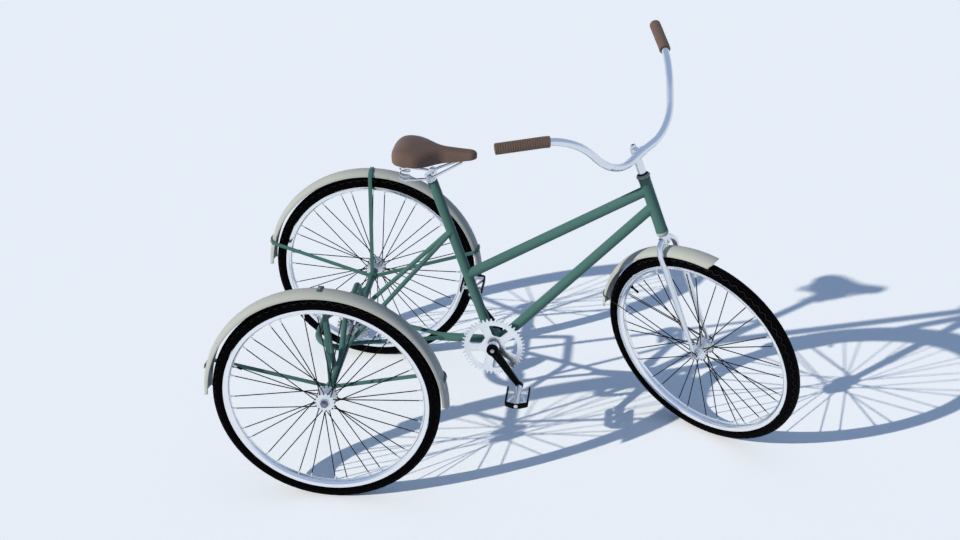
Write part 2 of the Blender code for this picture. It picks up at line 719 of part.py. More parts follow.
def main_tubes():
    """Seat, top and down tubes and the crank shell, each cut to fit its neighbours."""
    seat_top = centre_plane(SEAT_TUBE_TOP)
    seat_foot = centre_plane(SEAT_TUBE_FOOT)
    length = (seat_top - seat_foot).length
    bore = POST_RADIUS + GAP
    floor = length - SEAT_TUBE_BORE_DEPTH
    profile = [(0, 0), (SEAT_TUBE_RADIUS, 0), (SEAT_TUBE_RADIUS, length)]
    profile += [(bore, length), (bore, floor), (0, floor)]
    seat_tube = node('seat_tube', turned(profile), GREEN, ROOT, axis_matrix(seat_foot, seat_top))
    shell_start, shell_end = crank_shell_ends()
    trim(seat_tube, ROOT, shell_start, shell_end, SHELL_RADIUS, SHAFT_SIDES)

    top_tube = tube_node('top_tube', centre_plane(TOP_TUBE_FOOT), head_point(TOP_TUBE_DROP),
                         TOP_TUBE_RADIUS, GREEN, ROOT)
    down_tube = tube_node('down_tube', centre_plane(DOWN_TUBE_FOOT), head_point(DOWN_TUBE_DROP),
                          DOWN_TUBE_RADIUS, GREEN, ROOT)
    for tube in (top_tube, down_tube):
        trim(tube, ROOT, head_point(HEAD_LENGTH), head_point(0), HEAD_RADIUS, SHAFT_SIDES)
        trim(tube, ROOT, seat_foot, seat_top, SEAT_TUBE_RADIUS, SHAFT_SIDES)
    trim(down_tube, ROOT, shell_start, shell_end, SHELL_RADIUS, SHAFT_SIDES)

    half = SHELL_HALF_LENGTH
    shell = [(SHELL_RADIUS, -half), (SHELL_RADIUS, half), (SHELL_BORE, half), (SHELL_BORE, -half)]
    node('crank_shell', turned(shell), GREEN, ROOT, axis_matrix(shell_start, shell_end)
         @ Matrix.Translation((0, 0, half)))


def rear_stays():
    """A thick yoke tube behind the crank shell, forked into two chain stays, and two seat stays."""
    seat_top = centre_plane(SEAT_TUBE_TOP)
    seat_foot = centre_plane(SEAT_TUBE_FOOT)
    shell_start, shell_end = crank_shell_ends()
    yoke_start = centre_plane(YOKE_END)
    yoke_end = centre_plane(CRANK_CENTRE)
    yoke = tube_node('chain_stay_yoke', yoke_start, yoke_end, YOKE_RADIUS, GREEN, ROOT)
    trim(yoke, ROOT, shell_start, shell_end, SHELL_RADIUS, SHAFT_SIDES)
    trim(yoke, ROOT, seat_foot, seat_top, SEAT_TUBE_RADIUS, SHAFT_SIDES)
    for word, sign in SIDES.items():
        axle_start, axle_end = axle_tube_ends(sign)
        root = Vector((CHAIN_STAY_ROOT[0], sign * CHAIN_STAY_ROOT[1], CHAIN_STAY_ROOT[2]))
        foot = Vector((0, sign * CHAIN_STAY_SPREAD, 0))
        chain_stay = tube_node(f'chain_stay_{word}', foot, root, CHAIN_STAY_RADIUS, GREEN, ROOT)
        trim(chain_stay, ROOT, yoke_start, yoke_end, YOKE_RADIUS)
        trim(chain_stay, ROOT, axle_start, axle_end, AXLE_TUBE_RADIUS, SHAFT_SIDES)
        top = Vector((SEAT_STAY_ROOT[0], sign * SEAT_STAY_ROOT[1], SEAT_STAY_ROOT[2]))
        foot = Vector((0, sign * SEAT_STAY_SPREAD, 0))
        seat_stay = tube_node(f'seat_stay_{word}', foot, top, SEAT_STAY_RADIUS, GREEN, ROOT)
        trim(seat_stay, ROOT, seat_foot, seat_top, SEAT_TUBE_RADIUS, SHAFT_SIDES)
        trim(seat_stay, ROOT, axle_start, axle_end, AXLE_TUBE_RADIUS, SHAFT_SIDES)


def axle_bridges():
    """Bent tubes that join the two axle tubes: over the cogs, round behind them, and a wide brace."""
    arch = [(0, -ARCH_FOOT, 0), (0, -ARCH_SHOULDER, ARCH_RISE)]
    arch += [(0, ARCH_SHOULDER, ARCH_RISE), (0, ARCH_FOOT, 0)]
    hoop = [(0, -HOOP_SPREAD, 0), (-HOOP_DEPTH, -HOOP_SPREAD, 0)]
    hoop += [(-HOOP_DEPTH, HOOP_SPREAD, 0), (0, HOOP_SPREAD, 0)]
    brace = [(0, -BRACE_SPREAD, 0), (-BRACE_DEPTH, 0, BRACE_RISE), (0, BRACE_SPREAD, 0)]
    made = {'axle_arch': (arch, ARCH_BEND, ARCH_RADIUS), 'rear_hoop': (hoop, HOOP_BEND, HOOP_RADIUS)}
    made['rear_brace'] = (brace, BRACE_BEND, BRACE_RADIUS)
    for name, (corners, bend, radius) in made.items():
        path = [Vector(corner) for corner in corners]
        bridge = node(name, bent_tube(path, bend, radius, BAR_SIDES), GREEN, ROOT)
        for sign in SIDES.values():
            start, end = axle_tube_ends(sign)
            trim(bridge, ROOT, start, end, AXLE_TUBE_RADIUS, SHAFT_SIDES)


# Mudguards
def guard(name, parent, span, surface):
    """A thin curved shell over part of a wheel, rounded across its width."""
    section = []
    turns = [math.pi * (i / GUARD_SECTION_STEPS - 0.5) for i in range(GUARD_SECTION_STEPS + 1)]
    rise = GUARD_CROWN - GUARD_EDGE
    section += [(GUARD_HALF_WIDTH * math.sin(t), GUARD_EDGE + rise * math.cos(t)) for t in turns]
    inner_half = GUARD_HALF_WIDTH - GUARD_THICKNESS
    inner_rise = rise - GUARD_THICKNESS
    section += [(inner_half * math.sin(t), GUARD_EDGE + inner_rise * math.cos(t)) for t in reversed(turns)]
    rings = []
    for i in range(GUARD_STEPS + 1):
        turn = span[0] + (span[1] - span[0]) * i / GUARD_STEPS
        rings.append([Vector((r * math.cos(turn), y, r * math.sin(turn))) for y, r in section])
    node(name, rings_solid(rings), surface, parent)


def stay_arm(sign, turn):
    """A flat bar from the axle out to the mudguard, bent over onto its crown."""
    tab_level = GUARD_CROWN + GAP + STAY_THICKNESS / 2
    outward = Vector((math.cos(turn), 0, math.sin(turn)))
    places = [(STAY_ROOT, (AXLE_TUBE_RADIUS + GAP + STAY_RING_RADIUS) / 2)]
    places += [(STAY_OFFSET, tab_level - STAY_SHOULDER_INSET), (STAY_OFFSET + STAY_SHOULDER_WIDTH, tab_level)]
    places += [(HALF_TRACK + STAY_TAB_OVERHANG, tab_level)]
    path = [Vector((0, sign * side, 0)) + outward * reach for side, reach in places]
    half_width = STAY_WIDTH / 2
    half_thickness = STAY_THICKNESS / 2
    section = [(-half_width, -half_thickness), (half_width, -half_thickness)]
    section += [(half_width, half_thickness), (-half_width, half_thickness)]
    return swept(path, section, outward.cross(Vector((0, 1, 0))))


def rear_guards():
    """Rear mudguards, each held by three flat stays from a collar on the axle tube."""
    for word, sign in SIDES.items():
        hub = Matrix.Translation((0, sign * HALF_TRACK, 0))
        centre = pivot(f'rear_guard_{word}_centre', ROOT, hub)
        guard(f'rear_mudguard_{word}', centre, REAR_GUARD_SPAN, CREAM)
        half = STAY_RING_THICKNESS / 2
        bore = AXLE_TUBE_RADIUS + GAP
        collar = [(bore, -half), (STAY_RING_RADIUS, -half), (STAY_RING_RADIUS, half), (bore, half)]
        place = Matrix.Translation((0, sign * STAY_ROOT, 0))
        stays = node(f'mudguard_stays_{word}', along_y(turned(collar)), GREEN, ROOT, place)
        for turn in STAY_ANGLES:
            combine(stays, stay_arm(sign, turn), 'UNION', ROOT)


# Fork
def fork():
    """Steerer and crown in one, two blades with round shoulders, and the headset lock nut."""
    crown_base = CROWN_TOP - CROWN_HEIGHT
    stud_end = GUARD_CROWN - FORK_LENGTH + GAP
    steerer_top = LOCKNUT_HEIGHT
    bore_end = steerer_top - STEERER_BORE_DEPTH
    profile = [(0, stud_end), (CROWN_STUD_RADIUS, stud_end), (CROWN_STUD_RADIUS, crown_base)]
    profile += [(CROWN_RADIUS, crown_base), (CROWN_RADIUS, CROWN_TOP), (STEERER_RADIUS, CROWN_TOP)]
    profile += [(STEERER_RADIUS, steerer_top), (STEERER_BORE, steerer_top)]
    profile += [(STEERER_BORE, bore_end), (0, bore_end)]
    node('fork_crown', turned(profile), CHROME, STEERING)
    bore = STEERER_RADIUS + GAP
    nut = [(bore, GAP), (LOCKNUT_RADIUS, GAP), (LOCKNUT_RADIUS, LOCKNUT_HEIGHT), (bore, LOCKNUT_HEIGHT)]
    node('headset_locknut', turned(nut), STEEL, STEERING)
    shoulder = CROWN_TOP - BLADE_SHOULDER_DROP
    foot = -FORK_LENGTH + (FRONT_AXLE_RADIUS + DROPOUT_RADIUS) / 2
    for word, sign in SIDES.items():
        side = sign * BLADE_SPREAD
        corners = [Vector((0, 0, shoulder)), Vector((0, side, shoulder))]
        corners += [Vector((0, side, foot + BLADE_TAPER))]
        path = bent_path(corners, BLADE_BEND) + [Vector((0, side, foot))]
        sizes = [1.0] * (len(path) - 1) + [BLADE_TIP_RADIUS / BLADE_RADIUS]
        shape = swept(path, circle(BLADE_RADIUS, TUBE_SIDES), Vector((1, 0, 0)), sizes)
        blade = node(f'fork_blade_{word}', shape, CHROME, STEERING)
        crown_ends = Vector((0, 0, crown_base)), Vector((0, 0, CROWN_TOP))
        trim(blade, STEERING, *crown_ends, CROWN_RADIUS, SHAFT_SIDES)
        half = DROPOUT_THICKNESS / 2
        eye = FRONT_AXLE_RADIUS + GAP
        dropout = [(eye, -half), (DROPOUT_RADIUS, -half), (DROPOUT_RADIUS, half), (eye, half)]
        place = Matrix.Translation((0, side, -FORK_LENGTH))
        combine(blade, along_y(turned(dropout)), 'UNION', STEERING, place)


def front_axle():
    """The fixed front axle with a cone inside and a nut outside each fork end."""
    start = BLADE_SPREAD + DROPOUT_THICKNESS / 2 + WIRE_EYE_THICKNESS + 2 * GAP
    end = start + FRONT_NUT_LENGTH
    tip = end + FRONT_AXLE_OVERHANG
    cone_start = FRONT_HUB_HALF_LENGTH + GAP
    cone_end = cone_start + FRONT_CONE_LENGTH
    half = [(FRONT_AXLE_RADIUS, cone_start), (FRONT_CONE_RADIUS, cone_start), (FRONT_CONE_RADIUS, cone_end)]
    half += [(FRONT_AXLE_RADIUS, cone_end), (FRONT_AXLE_RADIUS, start), (FRONT_NUT_RADIUS, start)]
    half += [(FRONT_NUT_RADIUS, end), (FRONT_AXLE_RADIUS, end), (FRONT_AXLE_RADIUS, tip), (0, tip)]
    profile = half + [(radius, -along) for radius, along in reversed(half)]
    node('front_axle', along_y(turned(profile)), STEEL, STEERING, Matrix.Translation(FRONT_HUB))


def front_guard():
    """Short front mudguard, with a wire stay from both ends of the axle to its rear end."""
    centre = pivot('front_guard_centre', STEERING, Matrix.Translation(FRONT_HUB))
    guard('front_mudguard', centre, FRONT_GUARD_SPAN, CREAM)
    eye_side = BLADE_SPREAD + (DROPOUT_THICKNESS + WIRE_EYE_THICKNESS) / 2 + GAP
    outward = Vector((math.cos(WIRE_ANGLE), 0, math.sin(WIRE_ANGLE)))
    start = (FRONT_AXLE_RADIUS + WIRE_EYE_RADIUS) / 2
    clear = 2 * WIRE_RADIUS
    turns = [math.pi * (i / WIRE_ARCH_STEPS - 0.5) for i in range(WIRE_ARCH_STEPS + 1)]
    over = GUARD_CROWN - GUARD_EDGE + clear
    arch = [((GUARD_HALF_WIDTH + clear) * math.sin(t), GUARD_EDGE + over * math.cos(t)) for t in turns]
    places = [(-eye_side, start)] + arch + [(eye_side, start)]
    path = [outward * reach + Vector((0, side, 0)) for side, reach in places]
    wire = swept(path, circle(WIRE_RADIUS, WIRE_SIDES), outward.cross(Vector((0, 1, 0))))
    stay = node('front_mudguard_stay', wire, CHROME, centre)
    half_thickness = WIRE_EYE_THICKNESS / 2
    bore = FRONT_AXLE_RADIUS + GAP
    for sign in SIDES.values():
        eye = [(bore, -half_thickness), (WIRE_EYE_RADIUS, -half_thickness)]
        eye += [(WIRE_EYE_RADIUS, half_thickness), (bore, half_thickness)]
        place = Matrix.Translation((0, sign * eye_side, 0))
        combine(stay, along_y(turned(eye, TUBE_SIDES)), 'UNION', centre, place)


# Handlebar
def bar_corners(sign):
    """Corners of one half of the bar, from its middle to its tip."""
    corners = (BAR_CENTRE, BAR_LOW_CORNER, BAR_HIGH_CORNER, BAR_TIP)
    return [Vector((x, sign * y, z)) for x, y, z in corners]


def bar_half(sign):
    """The smooth middle line of one half of the bar."""
    centre, low, high, tip = bar_corners(sign)
    lower = bent_path([centre, low, high], BAR_LOW_BEND)
    upper = bent_path([low, high, tip], BAR_HIGH_BEND)
    return lower[:-1] + upper[1:]


def bar_tube(radius):
    """The whole bar from tip to tip, as a shape."""
    path = list(reversed(bar_half(-1))) + bar_half(1)[1:]
    return swept(path, circle(radius, BAR_SIDES), Vector((0, 0, 1)))


def stem():
    """A quill stem with a round clamp for the bar, and its expander bolt on top."""
    profile = [(0, -QUILL_DEPTH), (QUILL_RADIUS, -QUILL_DEPTH), (QUILL_RADIUS, LOCKNUT_HEIGHT + GAP)]
    profile += [(QUILL_NECK_RADIUS, LOCKNUT_HEIGHT + GAP), (QUILL_NECK_RADIUS, QUILL_TOP), (0, QUILL_TOP)]
    quill = node('stem', turned(profile), CHROME, BARS)
    side = Vector((0, STEM_CLAMP_HALF_LENGTH, 0))
    middle = Vector(BAR_CENTRE)
    shape, place = rod(middle - side, middle + side, STEM_CLAMP_RADIUS, SHAFT_SIDES)
    combine(quill, shape, 'UNION', BARS, place)
    combine(quill, bar_tube(BAR_RADIUS + GAP), 'DIFFERENCE', BARS)
    base = QUILL_TOP + GAP
    top = base + STEM_BOLT_HEIGHT
    bolt = [(0, base), (STEM_BOLT_RADIUS, base), (STEM_BOLT_RADIUS, (base + top) / 2)]
    bolt += [(STEM_BOLT_RADIUS / 2, top), (0, top)]
    node('stem_bolt', turned(bolt, TUBE_SIDES), CHROME, BARS)


def handlebar():
    """One bent tube, rising and sweeping back to the grips."""
    node('handlebar', bar_tube(BAR_RADIUS), CHROME, BARS)


def path_end(path, length):
    """The last part of a path, cut to a length."""
    kept = [path[-1]]
    for before, after in zip(reversed(path[:-1]), reversed(path)):
        step = (before - after).length
        if step >= length:
            kept.append(after + (before - after) * (length / step))
            break
        kept.append(before)
        length -= step
    return list(reversed(kept))


def grips():
    """A soft grip with a closed end on each end of the bar."""
    bore = BAR_RADIUS / math.cos(math.pi / BAR_SIDES) + GAP
    for word, sign in SIDES.items():
        path = path_end(bar_half(sign), GRIP_LENGTH - GRIP_END_WALL)
        outward = (path[-1] - path[-2]).normalized()
        backward = (path[0] - path[1]).normalized()
        outer = path[:-1] + [path[-1] + outward * GRIP_END_WALL]
        inner = [path[0] + backward * GRIP_END_WALL] + path[1:-1] + [path[-1] + outward * GAP]
        upright = Vector((0, 0, 1))
        grip = node(f'grip_{word}', swept(outer, circle(GRIP_RADIUS, SHAFT_SIDES), upright), LEATHER, BARS)
        combine(grip, swept(inner, circle(bore, BAR_SIDES), upright), 'DIFFERENCE', BARS)


# Cranks and pedals
def crank_bearing():
    """A cartridge in the crank shell, and the spindle that turns in it."""
    start = -SHELL_HALF_LENGTH
    lip = start - GAP
    face = lip - CARTRIDGE_FLANGE_THICKNESS
    sleeve = SHELL_BORE - GAP
    bore = SPINDLE_RADIUS + RUNNING
    profile = [(bore, face), (CARTRIDGE_FLANGE_RADIUS, face), (CARTRIDGE_FLANGE_RADIUS, lip), (sleeve, lip)]
    profile += [(sleeve, -start), (bore, -start)]
    place = Matrix.Translation(centre_plane(CRANK_CENTRE))
    node('crank_cartridge', along_y(turned(profile)), STEEL, ROOT, place)
    end = CRANK_OFFSET + CRANK_THICKNESS / 2
    spindle = [(0, -end), (SPINDLE_RADIUS, -end), (SPINDLE_RADIUS, end), (0, end)]
    node('crank_spindle', along_y(turned(spindle)), STEEL, CRANKS)


def chainring():
    """A toothed ring with windows round its spider, and a boss that stands off the crank."""
    outline = toothed_outline(RING_TEETH, RING_TIP_RADIUS, RING_TOOTH_DEPTH, RING_TIP_SHARES)
    place = Matrix.Translation((0, -RING_OFFSET, 0))
    ring = node('chainring', extruded(outline, RING_THICKNESS), STEEL, CRANKS, place)
    half_span = RING_WINDOW_SHARE * math.pi / RING_WINDOWS
    for i in range(RING_WINDOWS):
        middle = RING_WINDOW_TURN + 2 * math.pi * i / RING_WINDOWS
        turns = [middle + half_span * share for share in (-1, -0.5, 0, 0.5, 1)]
        window = [(RING_WINDOW_OUTER * math.cos(t), RING_WINDOW_OUTER * math.sin(t)) for t in turns]
        taper = half_span * RING_WINDOW_TAPER
        inward = (turns[-1] - taper, middle, turns[0] + taper)
        window += [(RING_WINDOW_INNER * math.cos(t), RING_WINDOW_INNER * math.sin(t)) for t in inward]
        combine(ring, extruded(window, 3 * RING_THICKNESS), 'DIFFERENCE', CRANKS, place)
    inner_face = Vector((0, -RING_OFFSET, 0))
    crank_face = Vector((0, CRANK_THICKNESS / 2 - CRANK_OFFSET + GAP, 0))
    shape, place = rod(inner_face, crank_face, RING_BOSS_RADIUS, SHAFT_SIDES)
    combine(ring, shape, 'UNION', CRANKS, place)
    trim(ring, CRANKS, Vector((0, -CRANK_OFFSET, 0)), Vector(), SPINDLE_RADIUS, SHAFT_SIDES)


def crank_outline(direction):
    """Two round ends of unlike size and the straight flanks between them."""
    outline = []
    boss = (0, CRANK_BOSS_RADIUS, math.pi / 2)
    eye = (CRANK_LENGTH, CRANK_EYE_RADIUS, -math.pi / 2)
    for centre, radius, start in (boss, eye):
        for i in range(CRANK_END_STEPS + 1):
            turn = start + math.pi * i / CRANK_END_STEPS
            outline.append((direction * (centre + radius * math.cos(turn)), radius * math.sin(turn)))
    return outline


def cranks():
    """The two crank arms, pointing opposite ways."""
    for word, sign in SIDES.items():
        direction = -sign
        place = Matrix.Translation((0, sign * CRANK_OFFSET, 0))
        arm = node(f'crank_{word}', extruded(crank_outline(direction), CRANK_THICKNESS), BLACK, CRANKS, place)
        inside = Vector((0, sign * (CRANK_OFFSET - CRANK_THICKNESS), 0))
        outside = Vector((0, sign * (CRANK_OFFSET + CRANK_THICKNESS), 0))
        trim(arm, CRANKS, inside, outside, SPINDLE_RADIUS, SHAFT_SIDES)
        eye = Vector((direction * CRANK_LENGTH, 0, 0))
        trim(arm, CRANKS, inside + eye, outside + eye, PEDAL_SPINDLE_RADIUS, SHAFT_SIDES)


def pedal_outline(inset):
    """The outer edge of a pedal's cage, drawn in by so much: a U with a shallow pointed end."""
    half = PEDAL_HALF_WIDTH - inset
    length = PEDAL_LENGTH - inset
    nose = length + PEDAL_NOSE
    tip = half * PEDAL_NOSE_SHARE
    return [(-half, 0), (half, 0), (half, length), (tip, nose), (-tip, nose), (-half, length)]


def pedals():
    """Spindles screwed into the cranks, and cages that turn on them."""
    for word, sign in SIDES.items():
        start = CRANK_OFFSET - CRANK_THICKNESS / 2
        cage_start = CRANK_OFFSET + CRANK_THICKNESS / 2 + PEDAL_START
        barrel_end = cage_start + PEDAL_LENGTH + PEDAL_NOSE - PEDAL_PLATE
        spindle_end = barrel_end - 2 * PEDAL_PLATE
        profile = [(0, start), (PEDAL_SPINDLE_RADIUS, start)]
        profile += [(PEDAL_SPINDLE_RADIUS, spindle_end), (0, spindle_end)]
        mirrored = [(radius, sign * along) for radius, along in profile]
        eye = Matrix.Translation((-sign * CRANK_LENGTH, 0, 0))
        node(f'pedal_spindle_{word}', along_y(turned(mirrored)), STEEL, CRANKS, eye)

        half_height = PEDAL_HEIGHT / 2
        edges = []
        for inset in (0, PEDAL_PLATE):
            places = [(x, sign * (cage_start + y)) for x, y in pedal_outline(inset)]
            edges.append(places)
        outer, inner = edges
        cage = node(f'pedal_{word}', rings_solid([[Vector((x, y, z)) for x, y in outer]
                                                  for z in (-half_height, half_height)]), BLACK, PEDALS[word])
        mouth = [(x, y - sign * PEDAL_HEIGHT if i < 2 else y) for i, (x, y) in enumerate(inner)]
        hollow = rings_solid([[Vector((x, y, z)) for x, y in mouth] for z in (-PEDAL_HEIGHT, PEDAL_HEIGHT)])
        combine(cage, hollow, 'DIFFERENCE', PEDALS[word])
        for place in (cage_start + PEDAL_BAR_PLACE, cage_start + PEDAL_LENGTH - PEDAL_PLATE):
            half = PEDAL_HALF_WIDTH - PEDAL_PLATE / 2
            corners = [Vector((-half, sign * place, 0)), Vector((half, sign * place, 0))]
            section = [(-PEDAL_PLATE / 2, -half_height / 2), (PEDAL_PLATE / 2, -half_height / 2)]
            section += [(PEDAL_PLATE / 2, half_height / 2), (-PEDAL_PLATE / 2, half_height / 2)]
            combine(cage, swept(corners, section, Vector((0, 1, 0))), 'UNION', PEDALS[word])
        barrel_ends = [Vector((0, sign * side, 0)) for side in (cage_start - PEDAL_START / 2, barrel_end)]
        shape, place = rod(*barrel_ends, PEDAL_BARREL_RADIUS, SHAFT_SIDES)
        combine(cage, shape, 'UNION', PEDALS[word], place)
        shape, place = rod(Vector((0, sign * start, 0)), Vector((0, sign * spindle_end, 0)),
                           PEDAL_SPINDLE_RADIUS + RUNNING, SHAFT_SIDES, GAP)
        combine(cage, shape, 'DIFFERENCE', PEDALS[word], place)


# Saddle
def seat_post():
    """A plain post that slides in the seat tube."""
    shape, place = rod(-SEAT_LINE * POST_LENGTH, Vector(), POST_RADIUS, SHAFT_SIDES)
    node('seat_post', shape, CHROME, SEAT, place)


def saddle_frame():
    """A clamp on the post with two wire rails, which end in spring seats at the back."""
    middle = centre_plane(CLAMP_PLACE)
    side = Vector((0, CLAMP_HALF_LENGTH, 0))
    shape, place = rod(middle - side, middle + side, CLAMP_RADIUS, SHAFT_SIDES)
    frame = node('saddle_frame', shape, CHROME, SEAT, place)
    half = Vector((0, 0, SPRING_EYE_THICKNESS / 2))
    for sign in SIDES.values():
        spring = Vector((-SPRING_SETBACK, sign * SPRING_SPREAD, SPRING_SEAT_RISE)) - half
        under = Vector((CLAMP_PLACE[0], sign * RAIL_SPREAD, CLAMP_PLACE[1]))
        knee = Vector((RAIL_KNEE[0], sign * RAIL_SPREAD, RAIL_KNEE[1]))
        nose = Vector((RAIL_NOSE[0], sign * RAIL_NOSE_SPREAD, RAIL_NOSE[1]))
        rail = bent_tube([spring, under, knee, nose], RAIL_BEND, RAIL_RADIUS, RAIL_SIDES)
        combine(frame, rail, 'UNION', SEAT)
        shape, place = rod(spring - half, spring + half, SPRING_EYE_RADIUS)
        combine(frame, shape, 'UNION', SEAT, place)
    trim(frame, SEAT, -SEAT_LINE * POST_LENGTH, Vector(), POST_RADIUS, SHAFT_SIDES)


def spring_points():
    """Middle line of one coil spring: upright ends and a steady climb between them."""
    base = SPRING_SEAT_RISE + GAP
    top = SPRING_SEAT_RISE + SPRING_LENGTH - GAP
    steps = round(SPRING_TURNS * CURL_POINTS)
    climb_start = base + 2 * SPRING_WIRE_RADIUS
    climb_end = top - 2 * SPRING_WIRE_RADIUS
    points = []
    for i in range(steps + 1):
        turn = 2 * math.pi * i / CURL_POINTS
        height = climb_start + (climb_end - climb_start) * i / steps
        across = Vector((math.cos(turn), math.sin(turn), 0)) * SPRING_COIL_RADIUS
        points.append(across + Vector((0, 0, height)))
    first = Vector((points[0].x, points[0].y, base))
    last = Vector((points[-1].x, points[-1].y, top))
    return [first] + points + [last]


def least_self_gap(points, radius):
    """Smallest clear space between turns of a coil, measured between its points."""
    least = math.inf
    for i, first in enumerate(points):
        for second in points[i + CURL_POINTS // 2:]:
            least = min(least, (first - second).length - 2 * radius)
    return least


def saddle_springs():
    """Two coil springs between the rails and the back of the saddle."""
    points = spring_points()
    print('least gap between spring turns, mm:', round(1000 * least_self_gap(points, SPRING_WIRE_RADIUS), 2))
    for word, sign in SIDES.items():
        line = bpy.data.curves.new(f'saddle_spring_{word}', 'CURVE')
        line.dimensions = '3D'
        line.bevel_depth = SPRING_WIRE_RADIUS
        line.bevel_resolution = 1
        line.render_resolution_u = 0
        line.use_fill_caps = True
        spline = line.splines.new('POLY')
        spline.points.add(len(points) - 1)
        for target, point in zip(spline.points, points):
            target.co = (point.x, sign * point.y, point.z, 1)
        line.materials.append(CHROME)
        spring = bpy.data.objects.new(f'saddle_spring_{word}', line)
        bpy.context.collection.objects.link(spring)
        spring.parent = SEAT
        spring.location = (-SPRING_SETBACK, sign * SPRING_SPREAD, 0)


def saddle_sizes(share):
    """Half width, top, base and fullness of the saddle at a share of its length from tail to nose."""
    past_widest = min(max((share - SADDLE_WIDEST) / (SADDLE_WAIST - SADDLE_WIDEST), 0), 1)
    swell = math.cos(math.pi * past_widest) / 2 + 0.5
    width = SADDLE_NOSE_HALF_WIDTH + (SADDLE_REAR_HALF_WIDTH - SADDLE_NOSE_HALF_WIDTH) * swell
    before_widest = 1 - min(share / SADDLE_WIDEST, 1)
    round_tail = math.sqrt(max(0, 1 - before_widest ** SADDLE_TAIL_ROUNDING))
    nose_length = SADDLE_NOSE_HALF_WIDTH / SADDLE_LENGTH
    round_nose = math.sqrt(max(0, 1 - max(0, (share - 1 + nose_length) / nose_length) ** 2))
    rounding = min(round_tail, round_nose)
    rear_top = saddle_base(0) + SADDLE_REAR_DEPTH
    nose_top = saddle_base(1) + SADDLE_NOSE_DEPTH
    dip = SADDLE_DISH * math.sin(math.pi * share)
    top = rear_top + (nose_top - rear_top) * share - dip
    return width * rounding, top, saddle_base(share), math.sqrt(rounding)


def saddle_cover():
    """A padded leather top: wide and crowned at the back, narrow at the nose, drawn in below."""
    rings = []
    for i in range(SADDLE_STATIONS + 1):
        swing = SADDLE_END_MARGIN + (1 - 2 * SADDLE_END_MARGIN) * i / SADDLE_STATIONS
        share = 0.5 - 0.5 * math.cos(math.pi * swing)
        half_width, top, base, fullness = saddle_sizes(share)
        middle = base + (top - base) * SADDLE_EDGE_SHARE
        ring = []
        for j in range(SADDLE_SECTION):
            turn = 2 * math.pi * j / SADDLE_SECTION
            lift = math.sin(turn)
            across = math.copysign(abs(math.cos(turn)) ** SADDLE_SHOULDER, math.cos(turn))
            height = (middle - base) * max(lift * SADDLE_SKIRT, -1)
            if lift > 0:
                height = (top - middle) * lift ** SADDLE_CROWN * fullness
            draw = 1.0 if lift > -SADDLE_DRAW_START else SADDLE_DRAWN_IN
            along = SADDLE_LENGTH * share - SADDLE_TAIL_SETBACK
            ring.append(Vector((along, half_width * across * draw, middle + height)))
        rings.append([point - centre_plane(RAIL_NOSE) for point in ring])
    node('saddle_cover', rings_solid(rings), LEATHER, SADDLE)


# Assembly
front_wheel()
rear_wheels()
axle_shafts()
axle_tubes()
freewheel()
head_tube()
main_tubes()
rear_stays()
axle_bridges()
rear_guards()
fork()
front_axle()
front_guard()
stem()
handlebar()
grips()
crank_bearing()
chainring()
cranks()
pedals()
seat_post()
saddle_frame()
saddle_springs()
saddle_cover()


def reach_along_x(name):
    """Rearmost and foremost point of a piece."""
    piece = bpy.data.objects[name]
    places = [(piece.matrix_world @ vertex.co).x for vertex in piece.data.vertices]
    return min(places), max(places)


bpy.context.view_layer.update()
ROOT.location.x = -(reach_along_x('rear_mudguard_right')[0] + reach_along_x('front_tyre')[1]) / 2
ROOT.location.z = WHEEL_RADIUS
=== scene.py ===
import json

import bmesh
import bpy
import numpy as np
from mathutils import Matrix, Vector


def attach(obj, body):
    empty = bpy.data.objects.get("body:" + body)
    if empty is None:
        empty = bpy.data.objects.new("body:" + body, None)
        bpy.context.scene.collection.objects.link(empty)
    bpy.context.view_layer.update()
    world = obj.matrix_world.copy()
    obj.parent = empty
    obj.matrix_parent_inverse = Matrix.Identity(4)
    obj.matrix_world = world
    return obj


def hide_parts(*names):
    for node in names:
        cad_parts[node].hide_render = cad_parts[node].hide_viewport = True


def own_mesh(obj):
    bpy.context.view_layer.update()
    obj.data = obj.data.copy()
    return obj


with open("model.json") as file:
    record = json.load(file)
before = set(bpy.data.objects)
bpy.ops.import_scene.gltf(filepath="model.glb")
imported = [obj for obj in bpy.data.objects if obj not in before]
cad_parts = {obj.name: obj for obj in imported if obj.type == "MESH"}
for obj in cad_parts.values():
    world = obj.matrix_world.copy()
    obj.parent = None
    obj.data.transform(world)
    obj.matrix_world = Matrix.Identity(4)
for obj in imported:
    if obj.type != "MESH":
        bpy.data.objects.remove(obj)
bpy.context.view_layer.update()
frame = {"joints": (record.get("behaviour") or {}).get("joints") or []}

# Studio: a matt pale floor, one low lamp with a soft edge from the left behind the camera, and an
# even sky. The camera has a 57.7 mm lens and looks down on the tricycle from its right side.
CAMERA_LENS = 57.70
CAMERA_PLACE = (0.38553, -4.05986, 2.72921)
CAMERA_YAW, CAMERA_PITCH, CAMERA_ROLL = np.radians((6.854, 27.967, -0.444))
LAMP_DIRECTION = (0.70, 0.53, -0.475)
LAMP_STRENGTH = 2.80
LAMP_COLOUR = (1.0, 0.917, 0.767)
LAMP_SPREAD = np.radians(0.7)
SKY_LIGHT = (0.119, 0.163, 0.238, 1.0)
SKY_PALE_LEVEL, SKY_BLUE_LEVEL = 0.12, 0.62
FLOOR_HALF = 40.0
FLOOR_SEEN = (1.458, 1.541, 1.670, 1.0)


def linear(code):
    """Linear red, green, blue and full alpha from an sRGB hex code, by the standard curve."""
    srgb = np.array([int(code[i:i + 2], 16) for i in (1, 3, 5)]) / 255
    curved = ((srgb + 0.055) / 1.055) ** 2.4
    return (*np.where(srgb <= 0.04045, srgb / 12.92, curved).tolist(), 1.0)


